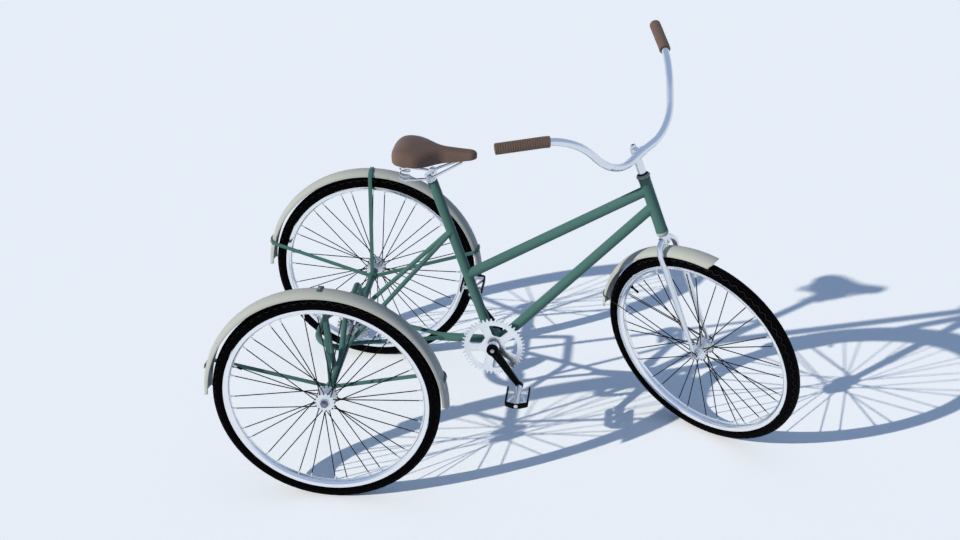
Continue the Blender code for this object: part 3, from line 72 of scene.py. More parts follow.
def feed(tree, node, inputs):
    """Sets each input of a node to its value, or links it where a socket is given."""
    for name, value in inputs.items():
        if isinstance(value, bpy.types.NodeSocket):
            tree.links.new(value, node.inputs[name])
        else:
            node.inputs[name].default_value = value


def add(tree, kind, inputs=None, out=0, **settings):
    """One shader node with its settings and inputs. The output that is asked for comes back."""
    made = tree.nodes.new("ShaderNode" + kind)
    for name, value in settings.items():
        setattr(made, name, value)
    feed(tree, made, inputs or {})
    return made.outputs[out] if made.outputs else None


def seen_rays(tree):
    """A factor of 1 for what the eye sees straight, in metal or through glass, and 0 for lighting."""
    rays = add(tree, "LightPath").node.outputs
    some = add(tree, "Math", {0: rays["Is Camera Ray"], 1: rays["Is Glossy Ray"]}, operation="ADD")
    return add(tree, "Math", {0: some, 1: rays["Is Transmission Ray"]}, operation="ADD", use_clamp=True)


scene = bpy.context.scene
scene.view_settings.view_transform = "Standard"
lens = bpy.data.cameras.new("camera")
lens.lens = CAMERA_LENS
camera = bpy.data.objects.new("camera", lens)
scene.collection.objects.link(camera)
scene.camera = camera
level, steep = np.cos(CAMERA_PITCH), np.sin(CAMERA_PITCH)
back = np.array((np.sin(CAMERA_YAW) * level, -np.cos(CAMERA_YAW) * level, steep))
right = np.array((np.cos(CAMERA_YAW), np.sin(CAMERA_YAW), 0))
above = np.cross(back, right)
rolled_right = np.cos(CAMERA_ROLL) * right + np.sin(CAMERA_ROLL) * above
rolled_up = np.cos(CAMERA_ROLL) * above - np.sin(CAMERA_ROLL) * right
turn = Matrix(np.stack((rolled_right, rolled_up, back), 1).tolist()).to_4x4()
camera.matrix_world = Matrix.Translation(CAMERA_PLACE) @ turn

lamp = bpy.data.lights.new("low_lamp", "SUN")
lamp.energy = LAMP_STRENGTH
lamp.color = LAMP_COLOUR
lamp.angle = LAMP_SPREAD
lamp_object = bpy.data.objects.new("low_lamp", lamp)
lamp_object.rotation_euler = Vector(LAMP_DIRECTION).to_track_quat("-Z", "Y").to_euler()
lamp_object.visible_glossy = False
scene.collection.objects.link(lamp_object)

world = bpy.data.worlds.new("pale_sky")
scene.world = world
world.use_nodes = True
sky = world.node_tree
sky.nodes.clear()
height = add(sky, "SeparateXYZ", {0: add(sky, "TexCoord", out="Generated")}, 2)
climb = add(sky, "MapRange", {"Value": height, "From Min": SKY_PALE_LEVEL, "From Max": SKY_BLUE_LEVEL})
dome = add(sky, "Mix", {0: climb, 6: linear("#e6edf8"), 7: linear("#a6b9da")}, 2, data_type="RGBA")
seen_sky = add(sky, "Background", {"Color": dome})
light_sky = add(sky, "Background", {"Color": SKY_LIGHT})
both = add(sky, "MixShader", {0: seen_rays(sky), 1: light_sky, 2: seen_sky})
add(sky, "OutputWorld", {0: both})

floor_mesh = bpy.data.meshes.new("floor")
floor_corners = np.array(((-1, -1, 0), (1, -1, 0), (1, 1, 0), (-1, 1, 0))) * FLOOR_HALF
floor_mesh.from_pydata(floor_corners.tolist(), [], [(0, 1, 2, 3)])
floor = bpy.data.objects.new("floor", floor_mesh)
scene.collection.objects.link(floor)
# Matt paper has no shine of its own, so only the soft blue shadows show on it.
paper = bpy.data.materials.new("matt_paper")
paper.use_nodes = True
floor_mesh.materials.append(paper)
tree = paper.node_tree
tree.nodes.clear()
plain = add(tree, "BsdfDiffuse", {"Color": linear("#dfe6f0")})
bright = add(tree, "BsdfDiffuse", {"Color": FLOOR_SEEN})
both = add(tree, "MixShader", {0: seen_rays(tree), 1: plain, 2: bright})
add(tree, "OutputMaterial", {0: both})

# Main frame: head, top, down and seat tubes and the crank shell, drawn steel tube, mitred and
# brazed with smooth fillets, then sprayed and stoved in green enamel as one piece.
HEAD_LENGTH, HEAD_RADIUS, HEAD_BORE = 0.180, 0.0175, 0.0145
HEAD_RING, HEAD_RING_LENGTH = 0.0007, 0.007
TOP_TUBE_FOOT, TOP_TUBE_DROP = (0.3613, 0, 0.209), 0.0415
DOWN_TUBE_FOOT, DOWN_TUBE_DROP = (0.4567, 0, -0.015), 0.0962
MAIN_TUBE_RADIUS = 0.0155
SEAT_TUBE_FOOT, SEAT_TUBE_TOP = (0.4357, 0, -0.015), (0.260, 0, 0.5157)
SEAT_TUBE_RADIUS, SEAT_TUBE_BORE = 0.015, 0.0131
SHELL_RADIUS, SHELL_BORE, SHELL_HALF_LENGTH = 0.0205, 0.0168, 0.034
FILLET, FILLET_SINK, TUBE_EDGE, MOUTH_EDGES = 0.0045, 0.0003, 0.0008, 6
LEAN = np.array((0.31, 0.17, 0.93))
SIDEWAYS = np.array((0.0, 1.0, 0.0))
SEAM_ANGLE = np.radians(35)
MERGE = 1e-6
DULL_LESS, DULL_MORE = 0.07, 0.09

joints = {joint["name"]: joint for joint in frame["joints"]}
axle = np.array(joints["freewheel_spin"]["pos_m"])
steer_top = np.array(joints["steering"]["pos_m"])
steer_axis = np.array(joints["steering"]["axis"])
crank_centre = np.array(joints["crank_spin"]["pos_m"])


def unit(vectors):
    """Vectors of length one."""
    vectors = np.asarray(vectors, float)
    return vectors / np.maximum(np.linalg.norm(vectors, axis=-1, keepdims=True), 1e-12)


def around(ahead, lean, sides):
    """Unit spokes of a ring across each heading, counted from the side of the leaning direction."""
    side = unit(np.cross(ahead, lean))
    lift = np.cross(side, ahead)
    turns = np.arange(sides) * 2 * np.pi / sides
    across = np.cos(turns)[:, None] * side[..., None, :]
    return across + np.sin(turns)[:, None] * lift[..., None, :]


def tube_end(centre, outward, spokes, radius, rest, fillet, through):
    """The last rows of a tube. Where it rests on a round neighbour (point, direction, radius), each
    line of the tube runs on to the neighbour's surface and curves out over it by the fillet. Where
    rest is a bore, the end is an open mouth, blind unless the bore goes through, and otherwise it is
    closed with a rounded edge."""
    if rest is None or isinstance(rest, float):
        edge = min(TUBE_EDGE, radius / 4)
        if rest is None:
            steps = ((radius, -edge), (radius - 0.3 * edge, -0.3 * edge), (radius - edge, 0), (0, 0))
        else:
            steps = ((radius, -edge), (radius - edge / 3, 0), (rest + edge / 3, 0), (rest, -edge))
            blind = -MOUTH_EDGES * edge
            steps += () if through else ((rest, blind), (0, blind))
        return np.stack([centre + outward * along + spokes * reach for reach, along in steps])
    point, direction, reach = rest
    line = centre + radius * spokes - outward
    gap = line - point
    gap = gap - (gap @ direction)[:, None] * direction
    run = outward - (outward @ direction) * direction
    slope = gap @ run
    inside = np.maximum(slope ** 2 - (run @ run) * ((gap ** 2).sum(1) - reach ** 2), 0)
    travel = (-slope - np.sqrt(inside)) / (run @ run)
    hit = line + travel[:, None] * outward
    along = ((hit - point) @ direction)[:, None] * direction
    normal = unit(hit - point - along)
    slide = unit(spokes - (spokes * normal).sum(1, keepdims=True) * normal)
    foot = hit + fillet * slide
    along = ((foot - point) @ direction)[:, None] * direction
    foot = point + along + unit(foot - point - along) * (reach - FILLET_SINK)
    share = np.linspace(0, 1, 7)[:, None, None]
    curve = (1 - share) ** 2 * (hit - fillet * outward) + 2 * share * (1 - share) * hit
    curve = curve + share ** 2 * foot
    middle = point + ((centre - point) @ direction) * direction
    return np.concatenate((curve, np.broadcast_to(middle, (1, *spokes.shape))))


def tube(path, radius, start=None, end=None, fillet=FILLET, lean=LEAN, sides=32):
    """A round wall carried along a path, with its two ends made as tube_end says. With a bore at both
    ends, the inner wall runs through and closes on the first row."""
    path = np.asarray(path, float)
    ahead = unit(np.gradient(path, axis=0))
    spokes = around(ahead, lean, sides)
    radius = np.broadcast_to(radius, len(path))
    rings = path[:, None] + radius[:, None, None] * spokes
    through = isinstance(start, float) and isinstance(end, float)
    first = tube_end(path[0], -ahead[0], spokes[0], radius[0], start, fillet, through)[::-1]
    last = tube_end(path[-1], ahead[-1], spokes[-1], radius[-1], end, fillet, through)
    return np.concatenate((first, rings[1:-1], last, first[:through]))


def piece(name, grids, material, body, *nodes, slot=None, bevel=0.0, painted_groove_highlight=None):
    """One object from grids of points (..., rows, columns, 3): quads join neighbours, the last
    column joins the first, and points that coincide are merged, which closes caps and rings. A
    shell whose faces enclose less than nothing, counted as centre times facing, is turned outward.
    A piece may also carry the strength of a painted highlight at each point, for its material."""
    places, corners, start = [], [], 0
    for grid in grids:
        shells = np.asarray(grid, float).reshape(-1, *grid.shape[-3:])
        index = start + np.arange(shells.size // 3).reshape(shells.shape[:3])
        onward = np.roll(index, -1, 2)
        quads = np.stack((index[:, :-1], onward[:, :-1], onward[:, 1:], index[:, 1:]), -1)
        near = shells - shells.mean((1, 2), keepdims=True)
        across = np.roll(near, -1, 2)
        facing = np.cross(across[:, 1:] - near[:, :-1], near[:, 1:] - across[:, :-1])
        centres = near[:, :-1] + across[:, :-1] + across[:, 1:] + near[:, 1:]
        inward = (facing * centres).sum((1, 2, 3)) < 0
        quads[inward] = quads[inward][..., ::-1]
        corners.append(quads.reshape(-1, 4))
        places.append(shells.reshape(-1, 3))
        start += index.size
    mesh = bpy.data.meshes.new(name)
    mesh.from_pydata(np.concatenate(places), [], np.concatenate(corners))
    if painted_groove_highlight is not None:
        layer = mesh.attributes.new("painted_groove_highlight", "FLOAT", "POINT")
        layer.data.foreach_set("value", np.ravel(painted_groove_highlight).astype(np.float32))
    shape = bmesh.new()
    shape.from_mesh(mesh)
    bmesh.ops.remove_doubles(shape, verts=shape.verts, dist=MERGE)
    shape.to_mesh(mesh)
    shape.free()
    mesh.shade_smooth()
    mesh.set_sharp_from_angle(angle=SEAM_ANGLE)
    mesh.materials.append(material)
    made = bpy.data.objects.new(name, mesh)
    scene.collection.objects.link(made)
    if bevel:
        rounding = made.modifiers.new("rounding", "BEVEL")
        rounding.width = bevel
        rounding.segments = 2
        rounding.angle_limit = SEAM_ANGLE
    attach(made, body)
    if nodes:
        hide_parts(*nodes)
    return made


def surface(name):
    """A new material, its tree and shader, and the Object coordinates that its patterns lie on. Each
    pattern's scale is 1000 over its size in millimetres."""
    material = bpy.data.materials.new(name)
    material.use_nodes = True
    tree = material.node_tree
    return material, tree, tree.nodes["Principled BSDF"], add(tree, "TexCoord", out="Object")


def painted(name, colour, shade, primer, roughness, gloss, pale_streaks_below=0.0):
    """Stoved enamel: slow drifts of tone, the faint orange peel of sprayed paint, a dulled gloss
    that varies from place to place, and specks of primer where the edges have been knocked. Below the
    given height, pale upright streaks in the primer colour are mixed in."""
    material, tree, shader, place = surface(name)
    drift = add(tree, "TexNoise", {"Vector": place, "Scale": 1000 / 170, "Detail": 3.0})
    tone = add(tree, "Mix", {0: drift, 6: linear(colour), 7: linear(shade)}, 2, data_type="RGBA")
    edge = add(tree, "NewGeometry", out="Pointiness")
    worn = add(tree, "MapRange", {"Value": edge, "From Min": 0.57, "From Max": 0.66})
    speck = add(tree, "TexNoise", {"Vector": place, "Scale": 1000 / 7, "Detail": 4.0})
    bare = add(tree, "MapRange", {"Value": speck, "From Min": 0.53, "From Max": 0.60})
    chip = add(tree, "Math", {0: worn, 1: bare}, operation="MULTIPLY")
    chipped = add(tree, "Mix", {0: chip, 6: tone, 7: linear(primer)}, 2, data_type="RGBA")
    stone = add(tree, "TexNoise", {"Vector": place, "Scale": 1000 / 4.5, "Detail": 0.0})
    nick = add(tree, "MapRange", {"Value": stone, "From Min": 0.835, "From Max": 0.850})
    seen = add(tree, "Mix", {0: nick, 6: chipped, 7: linear("#3f3d38")}, 2, data_type="RGBA")
    # Pale upright streaks in the primer colour, only below the given height.
    if pale_streaks_below:
        drawn = add(tree, "Mapping", {"Vector": place, "Scale": (1.0, 1.0, 0.06)})
        streak = add(tree, "TexNoise", {"Vector": drawn, "Scale": 1000 / 11, "Detail": 2.0})
        pale_marks = add(tree, "MapRange", {"Value": streak, "From Min": 0.615, "From Max": 0.635})
        height = add(tree, "SeparateXYZ", {0: place}, 2)
        low = add(tree, "MapRange", {"Value": height, "From Min": pale_streaks_below, "From Max": pale_streaks_below - 0.05})
        pale_streak = add(tree, "Math", {0: pale_marks, 1: low}, operation="MULTIPLY")
        seen = add(tree, "Mix", {0: pale_streak, 6: seen, 7: linear(primer)}, 2, data_type="RGBA")
    smear = add(tree, "TexNoise", {"Vector": place, "Scale": 1000 / 45, "Detail": 5.0})
    limits = {"Value": smear, "To Min": roughness - DULL_LESS, "To Max": roughness + DULL_MORE}
    peel = add(tree, "TexNoise", {"Vector": place, "Scale": 1000 / 2.2, "Detail": 1.0})
    bump = add(tree, "Bump", {"Height": peel, "Strength": 0.10, "Distance": 0.0003})
    feed(tree, shader, {"Base Color": seen, "Roughness": add(tree, "MapRange", limits), "Normal": bump})
    feed(tree, shader, {"Specular IOR Level": gloss})
    return material


def on_steering(drop):
    """Places so far below the top of the head tube, along the steering axis."""
    return steer_top - np.multiply.outer(np.asarray(drop, float), steer_axis)


# Stoved enamel gives a soft, even shine with a faint orange peel and pale rubbed edges. The peel's real
# half millimetre is too fine to show, so it is drawn at 2.2 mm in every enamel here.
green_enamel = painted("green_stoved_enamel", "#56807c", "#4d7570", "#8d9a92", roughness=0.46, gloss=0.14)
seat_foot, seat_top = axle + SEAT_TUBE_FOOT, axle + SEAT_TUBE_TOP
seat_line = unit(seat_top - seat_foot)
head_rest = (steer_top, steer_axis, HEAD_RADIUS)
seat_rest = (seat_foot, seat_line, SEAT_TUBE_RADIUS)
shell_rest = (crank_centre, SIDEWAYS, SHELL_RADIUS)
head_drops = np.array((0, HEAD_RING_LENGTH, HEAD_RING_LENGTH + 2 * HEAD_RING))
head_path = on_steering(np.concatenate((head_drops, HEAD_LENGTH - head_drops[::-1])))
head_radii = HEAD_RADIUS + HEAD_RING * np.array((1, 1, 0, 0, 1, 1))
top_path = (axle + TOP_TUBE_FOOT, on_steering(TOP_TUBE_DROP))
down_path = (axle + DOWN_TUBE_FOOT, on_steering(DOWN_TUBE_DROP))
shell_ends = crank_centre + np.multiply.outer((-SHELL_HALF_LENGTH, SHELL_HALF_LENGTH), SIDEWAYS)
main_tubes = {"head_tube": (head_path, head_radii, HEAD_BORE, HEAD_BORE),
              "top_tube": (top_path, MAIN_TUBE_RADIUS, seat_rest, head_rest),
              "down_tube": (down_path, MAIN_TUBE_RADIUS, shell_rest, head_rest),
              "seat_tube": ((seat_foot, seat_top), SEAT_TUBE_RADIUS, shell_rest, SEAT_TUBE_BORE),
              "crank_shell": (shell_ends, SHELL_RADIUS, SHELL_BORE, SHELL_BORE)}
for name, sizes in main_tubes.items():
    piece(f"{name}_painted", [tube(*sizes, sides=48)], green_enamel, "frame", name)

# Rear frame: a yoke tube forked into two chain stays, two seat stays, the axle tubes, and three
# bent tubes that tie the axle tubes together. Steel tube, brazed and enamelled with the rest.
YOKE_END, YOKE_RADIUS = (0.270, 0, -0.0125), 0.013
CHAIN_STAY, CHAIN_STAY_RADIUS = ((0, 0.094, 0), (0.285, 0.0075, -0.0118)), 0.0065
SEAT_STAY, SEAT_STAY_RADIUS = ((0, 0.110, 0), (0.312, 0.010, 0.352)), 0.007
AXLE_TUBE_ENDS, AXLE_TUBE_RADIUS, AXLE_TUBE_BORE = (0.056, 0.377), 0.011, 0.0096
# Half of each bent tube's path from the axle, its bend and its radius.
BRIDGES = {"axle_arch": (((0, 0.195, 0), (0, 0.095, 0.104)), 0.032, 0.0088),
           "rear_hoop": (((0, 0.120, 0), (-0.100, 0.120, 0)), 0.085, 0.0095),
           "rear_brace": (((0, 0.270, 0), (-0.085, 0, 0.034)), 0.060, 0.008)}
BRIDGE_FILLET = 0.0038
SIDES = {"right": -1, "left": 1}


def rounded(corners, bends, steps=14):
    """A path of straight runs with an arc at each inner corner: the arc starts a tangent length
    before the corner and turns about a centre that lies one bend radius to the inside."""
    corners = np.asarray(corners, float)
    arrive = unit(corners[1:-1] - corners[:-2])
    leave = unit(corners[2:] - corners[1:-1])
    angle = np.arccos(np.clip((arrive * leave).sum(1), -1, 1))
    bends = np.broadcast_to(bends, len(angle))
    start = corners[1:-1] - arrive * (bends * np.tan(angle / 2))[:, None]
    inward = unit(leave - arrive * np.cos(angle)[:, None])
    turns = (angle[:, None] * np.linspace(0, 1, steps))[..., None]
    sweep = np.sin(turns) * arrive[:, None] + (1 - np.cos(turns)) * inward[:, None]
    arcs = start[:, None] + bends[:, None, None] * sweep
    return np.concatenate((corners[:1], arcs.reshape(-1, 3), corners[-1:]))


axle_rest = (axle, SIDEWAYS, AXLE_TUBE_RADIUS)
yoke = tube((crank_centre, axle + YOKE_END), YOKE_RADIUS, shell_rest, sides=40)
piece("chain_stay_yoke_painted", [yoke], green_enamel, "frame", "chain_stay_yoke")
for word, sign in SIDES.items():
    mirror = (1, sign, 1)
    ends = axle + np.multiply.outer(np.array(AXLE_TUBE_ENDS) * sign, SIDEWAYS)
    walls = {"chain_stay": tube(axle + np.array(CHAIN_STAY) * mirror, CHAIN_STAY_RADIUS, axle_rest),
             "seat_stay": tube(axle + np.array(SEAT_STAY) * mirror, SEAT_STAY_RADIUS, axle_rest, seat_rest),
             "axle_tube": tube(ends, AXLE_TUBE_RADIUS, AXLE_TUBE_BORE, AXLE_TUBE_BORE)}
    for name, wall in walls.items():
        piece(f"{name}_{word}_painted", [wall], green_enamel, "frame", f"{name}_{word}")
for name, (half, bend, radius) in BRIDGES.items():
    half = np.array(half, float)
    other = (half * (1, -1, 1))[::-1]
    corners = np.concatenate((half, other[1:] if half[-1, 1] == 0 else other))
    bent = tube(rounded(axle + corners, bend, steps=24), radius, axle_rest, axle_rest, BRIDGE_FILLET)
    piece(f"{name}_painted", [bent], green_enamel, "frame", name)


# Rear axle: two plain steel half shafts, each with a domed cap nut outside its hub and a flanged
# bush in the end of the axle tube, and four toothed cogs on the right-hand shaft. Zinc-bright steel.
def outline(*corners):
    """An outline to be turned, as (radius, place along the axis), from millimetres to metres."""
    return np.array(corners) / 1000


SNUG, RUNNING_GAP = 0.0003, 0.0006
HALF_TRACK, REAR_HUB_HALF_LENGTH = 0.4073, 0.0262
SHAFT_RADIUS, SHAFT_EDGE = 0.0075, 0.0006
SHAFT_INNER = {"right": -0.033, "left": 0.037}
CAP_RADIUS, CAP_SKIRT, CAP_DOME = 0.0122, 0.011346, 0.00976
CAP_LENGTH, CAP_HEX_LENGTH, CAP_FOOT = 0.013, 0.0052, 0.001
BUSH = outline((8.1, -12), (9.3, -12), (9.3, 0), (12.5, 0), (12.5, 3), (8.1, 3), (8.1, -12))
COG_TEETH, COG_PITCH, COG_DEPTH, COG_POINT = (14, 17, 20, 24), 0.0127, 0.0065, 0.25
COG_THICKNESS, COG_SPACING, COG_CHAMFER = 0.0024, 0.0085, 0.0005
COG_BARREL_RADIUS, COG_BARREL_HALF_LENGTH, COG_BARREL_EDGE, COG_ROOT = 0.021, 0.024, 0.003, 0.019
TOOTH_STEPS, TOOTH_SLOPE, TOOTH_LIFT, TOOTH_ROUND = 14, 1.1, 0.1, 0.75


def turned(profile, centre, axis, sides=48):
    """A profile of (radius, along) spun about an axis through the centre."""
    profile = np.asarray(profile, float)
    axis = unit(axis)
    return centre + profile[:, None, 1:] * axis + profile[:, None, :1] * around(axis, LEAN, sides)


def round_bar(radius, start, end, edge=0.0, bore=0.0):
    """Profile of a turned bar or ring: out over one face, along the wall between its two cut edges, in
    over the other face and, where there is a bore, back through it."""
    wall = ((radius - edge, start), (radius, start + edge), (radius, end - edge), (radius - edge, end))
    wall = wall if edge else wall[1:3]
    inside = ((bore, start),) if bore else ()
    return ((bore, start), *wall, (bore, end), *inside)


def toothed(teeth, tip, depth, bore, half, centre, point):
    """A toothed ring across Y: its edge rises from root to tip once a tooth by a rounded step, and
    stays at the tip for longer with a larger point."""
    turns = np.arange(teeth * TOOTH_STEPS) * 2 * np.pi / (teeth * TOOTH_STEPS)
    wave = np.clip((np.cos(teeth * turns) + point) / TOOTH_SLOPE + TOOTH_LIFT, 0, 1)
    edge = tip - depth + depth * wave ** TOOTH_ROUND
    flat = np.full_like(edge, bore)
    reach = np.stack((flat, edge - COG_CHAMFER, edge, edge, edge - COG_CHAMFER, flat, flat))
    side = np.array((-half, -half, COG_CHAMFER - half, half - COG_CHAMFER, half, half, -half))
    side = np.broadcast_to(side[:, None], reach.shape)
    return centre + np.stack((reach * np.cos(turns), side, reach * np.sin(turns)), -1)


def plated(name, colour, tint, rough, spread, grain, relief):
    """Bright metal: a mirror whose gloss drifts with handling over a spread of roughness, with faint
    lines left by buffing or turning, a grain in millimetres apart, and a slow drift of tint."""
    material, tree, shader, place = surface(name)
    drift = add(tree, "TexNoise", {"Vector": place, "Scale": 1000 / 60, "Detail": 4.0})
    tone = add(tree, "Mix", {0: drift, 6: linear(colour), 7: linear(tint)}, 2, data_type="RGBA")
    smear = add(tree, "TexNoise", {"Vector": place, "Scale": 1000 / 18, "Detail": 6.0})
    limits = {"Value": smear, "From Min": 0.3, "From Max": 0.7, "To Min": rough, "To Max": rough + spread}
    lines = add(tree, "TexNoise", {"Vector": place, "Scale": 1000 / grain, "Detail": 2.0})
    bump = add(tree, "Bump", {"Height": lines, "Strength": relief, "Distance": 0.0002})
    feed(tree, shader, {"Base Color": tone, "Roughness": add(tree, "MapRange", limits), "Normal": bump})
    feed(tree, shader, {"Metallic": 1.0})
    return material


# Zinced steel gives a grey, half-dull shine; blued steel a darker, violet mirror. The buffing lines of all
# the bright metals are drawn some millimetres apart, as the real tenths would not show.
bright_steel = plated("zinc_bright_steel", "#c9ccd1", "#aeb2b8", rough=0.22, spread=0.16, grain=3.0,
                      relief=0.05)
blued_steel = plated("blued_cap_steel", "#8f93a6", "#6f6a70", rough=0.16, spread=0.14, grain=3.0, relief=0.05)
hub_face = HALF_TRACK + REAR_HUB_HALF_LENGTH + SNUG
dome = np.linspace(0, np.pi / 2, 9)
dome_rise = CAP_HEX_LENGTH + (CAP_LENGTH - CAP_HEX_LENGTH) * np.sin(dome)
skirt = ((0, 0), (CAP_SKIRT, 0), (CAP_SKIRT, CAP_FOOT), (CAP_DOME, CAP_FOOT))
cap = np.concatenate((skirt, np.stack((CAP_DOME * np.cos(dome), dome_rise), 1)))
flats = ((0, 0), (CAP_RADIUS, CAP_FOOT), (CAP_RADIUS, CAP_HEX_LENGTH), (0, CAP_HEX_LENGTH))
for word, sign in SIDES.items():
    outward = SIDEWAYS * sign
    inner = SHAFT_INNER[word]
    shaft = ((0, inner), (SHAFT_RADIUS - SHAFT_EDGE, inner), (SHAFT_RADIUS, inner + SHAFT_EDGE),
             (SHAFT_RADIUS, hub_face), (0, hub_face))
    piece(f"axle_shaft_{word}_turned", [turned(shaft, axle, outward, sides=32)], bright_steel,
          f"rear_wheel_{word}", f"axle_shaft_{word}")
    seat = axle + outward * hub_face
    nut = [turned(cap, seat, outward, sides=32), turned(flats, seat, outward, sides=6)]
    piece(f"hub_cap_nut_{word}", nut, blued_steel, f"rear_wheel_{word}", slot="bright_steel", bevel=0.0004)
    bush = turned(BUSH, axle + outward * (AXLE_TUBE_ENDS[1] + SNUG), outward, sides=40)
    piece(f"axle_bush_{word}_turned", [bush], bright_steel, "frame", f"axle_bush_{word}", bevel=0.0004)
half = COG_BARREL_HALF_LENGTH
barrel = round_bar(COG_BARREL_RADIUS, -half, half, COG_BARREL_EDGE, SHAFT_RADIUS + RUNNING_GAP)
cogs = []
for place, teeth in enumerate(COG_TEETH):
    tip = COG_PITCH / (2 * np.sin(np.pi / teeth)) + COG_DEPTH / 2
    middle = axle + SIDEWAYS * COG_SPACING * (place - (len(COG_TEETH) - 1) / 2)
    cogs.append(toothed(teeth, tip, COG_DEPTH, COG_ROOT, COG_THICKNESS / 2, middle, COG_POINT))
cogs.append(turned(barrel, axle, SIDEWAYS))
piece("freewheel_cut_teeth", cogs, bright_steel, "freewheel", "freewheel_cogs")

# Wheels: three alike, each a rubber tyre with zig-zag ribs, a rolled and chromed steel rim, a turned
# alloy hub, and 32 dark steel spokes in brass nipples, laced in pairs. A rubber valve stands in the rim.
UP = np.array((0.0, 0.0, 1.0))
FORWARDS = np.array((1.0, 0.0, 0.0))
WHEEL_RADIUS, TYRE_HALF_WIDTH, TYRE_SQUARENESS = 0.332, 0.0185, 2.8
TYRE_ZIGS, ZIG = 72, (1.0, 0.0, -1.0, 0.0)
# Lines of the tread, in millimetres: place along the section, swing of the zig-zag, depth.
TREAD = ((0, 0, 0), (2.5, 1.2, 0), (5.8, 3, 0), (6.1, 3, 0.35), (7.1, 3, 0.35), (7.4, 3, 0), (12, 3.8, 0),
         (17, 4.6, 0), (17.3, 4.6, 0.9), (18.7, 4.6, 0.9), (19, 4.6, 0), (23.8, 2, 0), (26.5, 0, 0),
         (29, 0, 0), (32, 0, 0), (33, 0, -0.5), (34.2, 0, -0.5), (35.2, 0, 0), (38.5, 0, 0), (42, 0, 0))
RIM = outline((296.2, 0), (296.2, 11.2), (300.1, 12.1), (301.0, 13.0), (301.2, 13.9), (300.6, 14.8),
              (299.3, 15.1), (297.6, 14.8), (294.0, 14.6), (291.2, 14.1), (289.0, 12.7), (286.6, 10.0),
              (284.6, 7.8), (283.2, 5.2), (282.5, 2.4), (282.3, 0))
FRONT_HUB = outline((10.5, 0), (10.75, 6.825), (12.5, 15.5), (14.5, 18.5), (24, 19.5), (30.4, 19.5),
                    (31, 20.1), (31, 21.9), (30.4, 22.5), (16.5, 22.5), (13.1, 23.5), (12.5, 32.3),
                    (11, 33.8), (6.6, 33.8), (5.4, 32.6))
REAR_HUB = outline((11.76, 0), (12.04, 6.125), (14, 13.5), (16, 16.5), (24, 17.5), (30.4, 17.5),
                   (31, 18.1), (31, 19.9), (30.4, 20.5), (18, 20.5), (14.6, 21.5), (14, 24.7),
                   (12.5, 26.2), (9, 26.2), (7.8, 25))
FRONT_FLANGE, REAR_FLANGE, FLANGE_HALF = 0.021, 0.019, 0.0015
SPOKE_PAIRS, SPOKE_RADIUS, SPOKE_SIDES = 16, 0.0016, 8
SPOKE_SPREAD, HOLE_SPREAD, HOLE_SHIFT_RIGHT, HOLE_SHIFT_LEFT = np.radians((7.4, 11.25, -2, -15))
SPOKE_HOLE_RADIUS, SPOKE_RIM_RADIUS, SPOKE_RIM_OFFSET = 0.0285, 0.2822, 0.002
SPOKE_HEAD, SPOKE_NECK, SPOKE_ELBOW, SPOKE_CURL = 0.0012, 0.0002, 0.0014, 0.4
# Thickness in spoke radii, from the head to the rim, and of the nipple, with its places along the spoke.
SPOKE_SIZES = np.array((0, 1.3, 1.5, 1.0, 1.0, 1.0, 1.0, 0))
NIPPLE_SIZES = np.array((0, 1.8, 1.8, 1.5, 1.3, 0))
NIPPLE_PLACES = np.array((-0.0005, -0.0005, 0.0030, 0.0034, 0.012, 0.012))
WHEEL_TURNS = {"front": -6.25, "right": 17.5, "left": 7.0}
VALVE_TURNS = {"front": 150, "right": 160.5, "left": 169.5}
VALVE_FOOT = 0.2842
VALVE = outline((0, 0), (5.27, 0), (4.96, 4), (3.1, 8), (3.1, 17.4), (3.658, 17.98), (3.658, 27.55),
                (2.79, 29), (0, 29))

# Vulcanised rubber is near black and hardly shines. Its zig-zag grooves are greyed by depth, a painted
# highlight of their edges.
# Its mould skin, really about half a millimetre, is drawn at 1.6 mm so that it shows.
tread_rubber, tree, shader, place = surface("vulcanised_black_rubber")
bloom = add(tree, "TexNoise", {"Vector": place, "Scale": 1000 / 35, "Detail": 6.0})
tone = add(tree, "Mix", {0: bloom, 6: linear("#020203"), 7: linear("#070708")}, 2, data_type="RGBA")
# Painted highlight: the grooves are mixed towards grey by their depth, standing in for light on their edges.
painted_highlight_mask = add(tree, "Attribute", out="Fac", attribute_name="painted_groove_highlight")
grey = add(tree, "Mix", {0: painted_highlight_mask, 6: tone, 7: linear("#37373a")}, 2, data_type="RGBA")
dull = add(tree, "MapRange", {"Value": bloom, "To Min": 0.62, "To Max": 0.88})
mould = add(tree, "TexNoise", {"Vector": place, "Scale": 1000 / 1.6, "Detail": 2.0})
bump = add(tree, "Bump", {"Height": mould, "Strength": 0.25, "Distance": 0.0003})
feed(tree, shader, {"Base Color": grey, "Roughness": dull, "Normal": bump, "Specular IOR Level": 0.03})

# Chromed rims mirror the white floor and the blue sky; turned alloy hubs shine pale and silky; the drawn
# spokes have gone near black, and nickelled nipples stand as pale dots at their ends.
rim_chrome = plated("chromed_rim_steel", "#f6f7f9", "#eef0f4", rough=0.12, spread=0.08, grain=6.0,
                    relief=0.004)
hub_alloy = plated("turned_hub_alloy", "#f4f5f7", "#e6e9ee", rough=0.36, spread=0.14, grain=1.2, relief=0.05)
spoke_steel = plated("dark_drawn_spoke_steel", "#1c1512", "#0d0a09", rough=0.40, spread=0.18, grain=2.0,
                     relief=0.03)
nipple_plate = plated("nickelled_brass", "#f0f0ee", "#dcdcd8", rough=0.30, spread=0.14, grain=2.0,
                      relief=0.03)


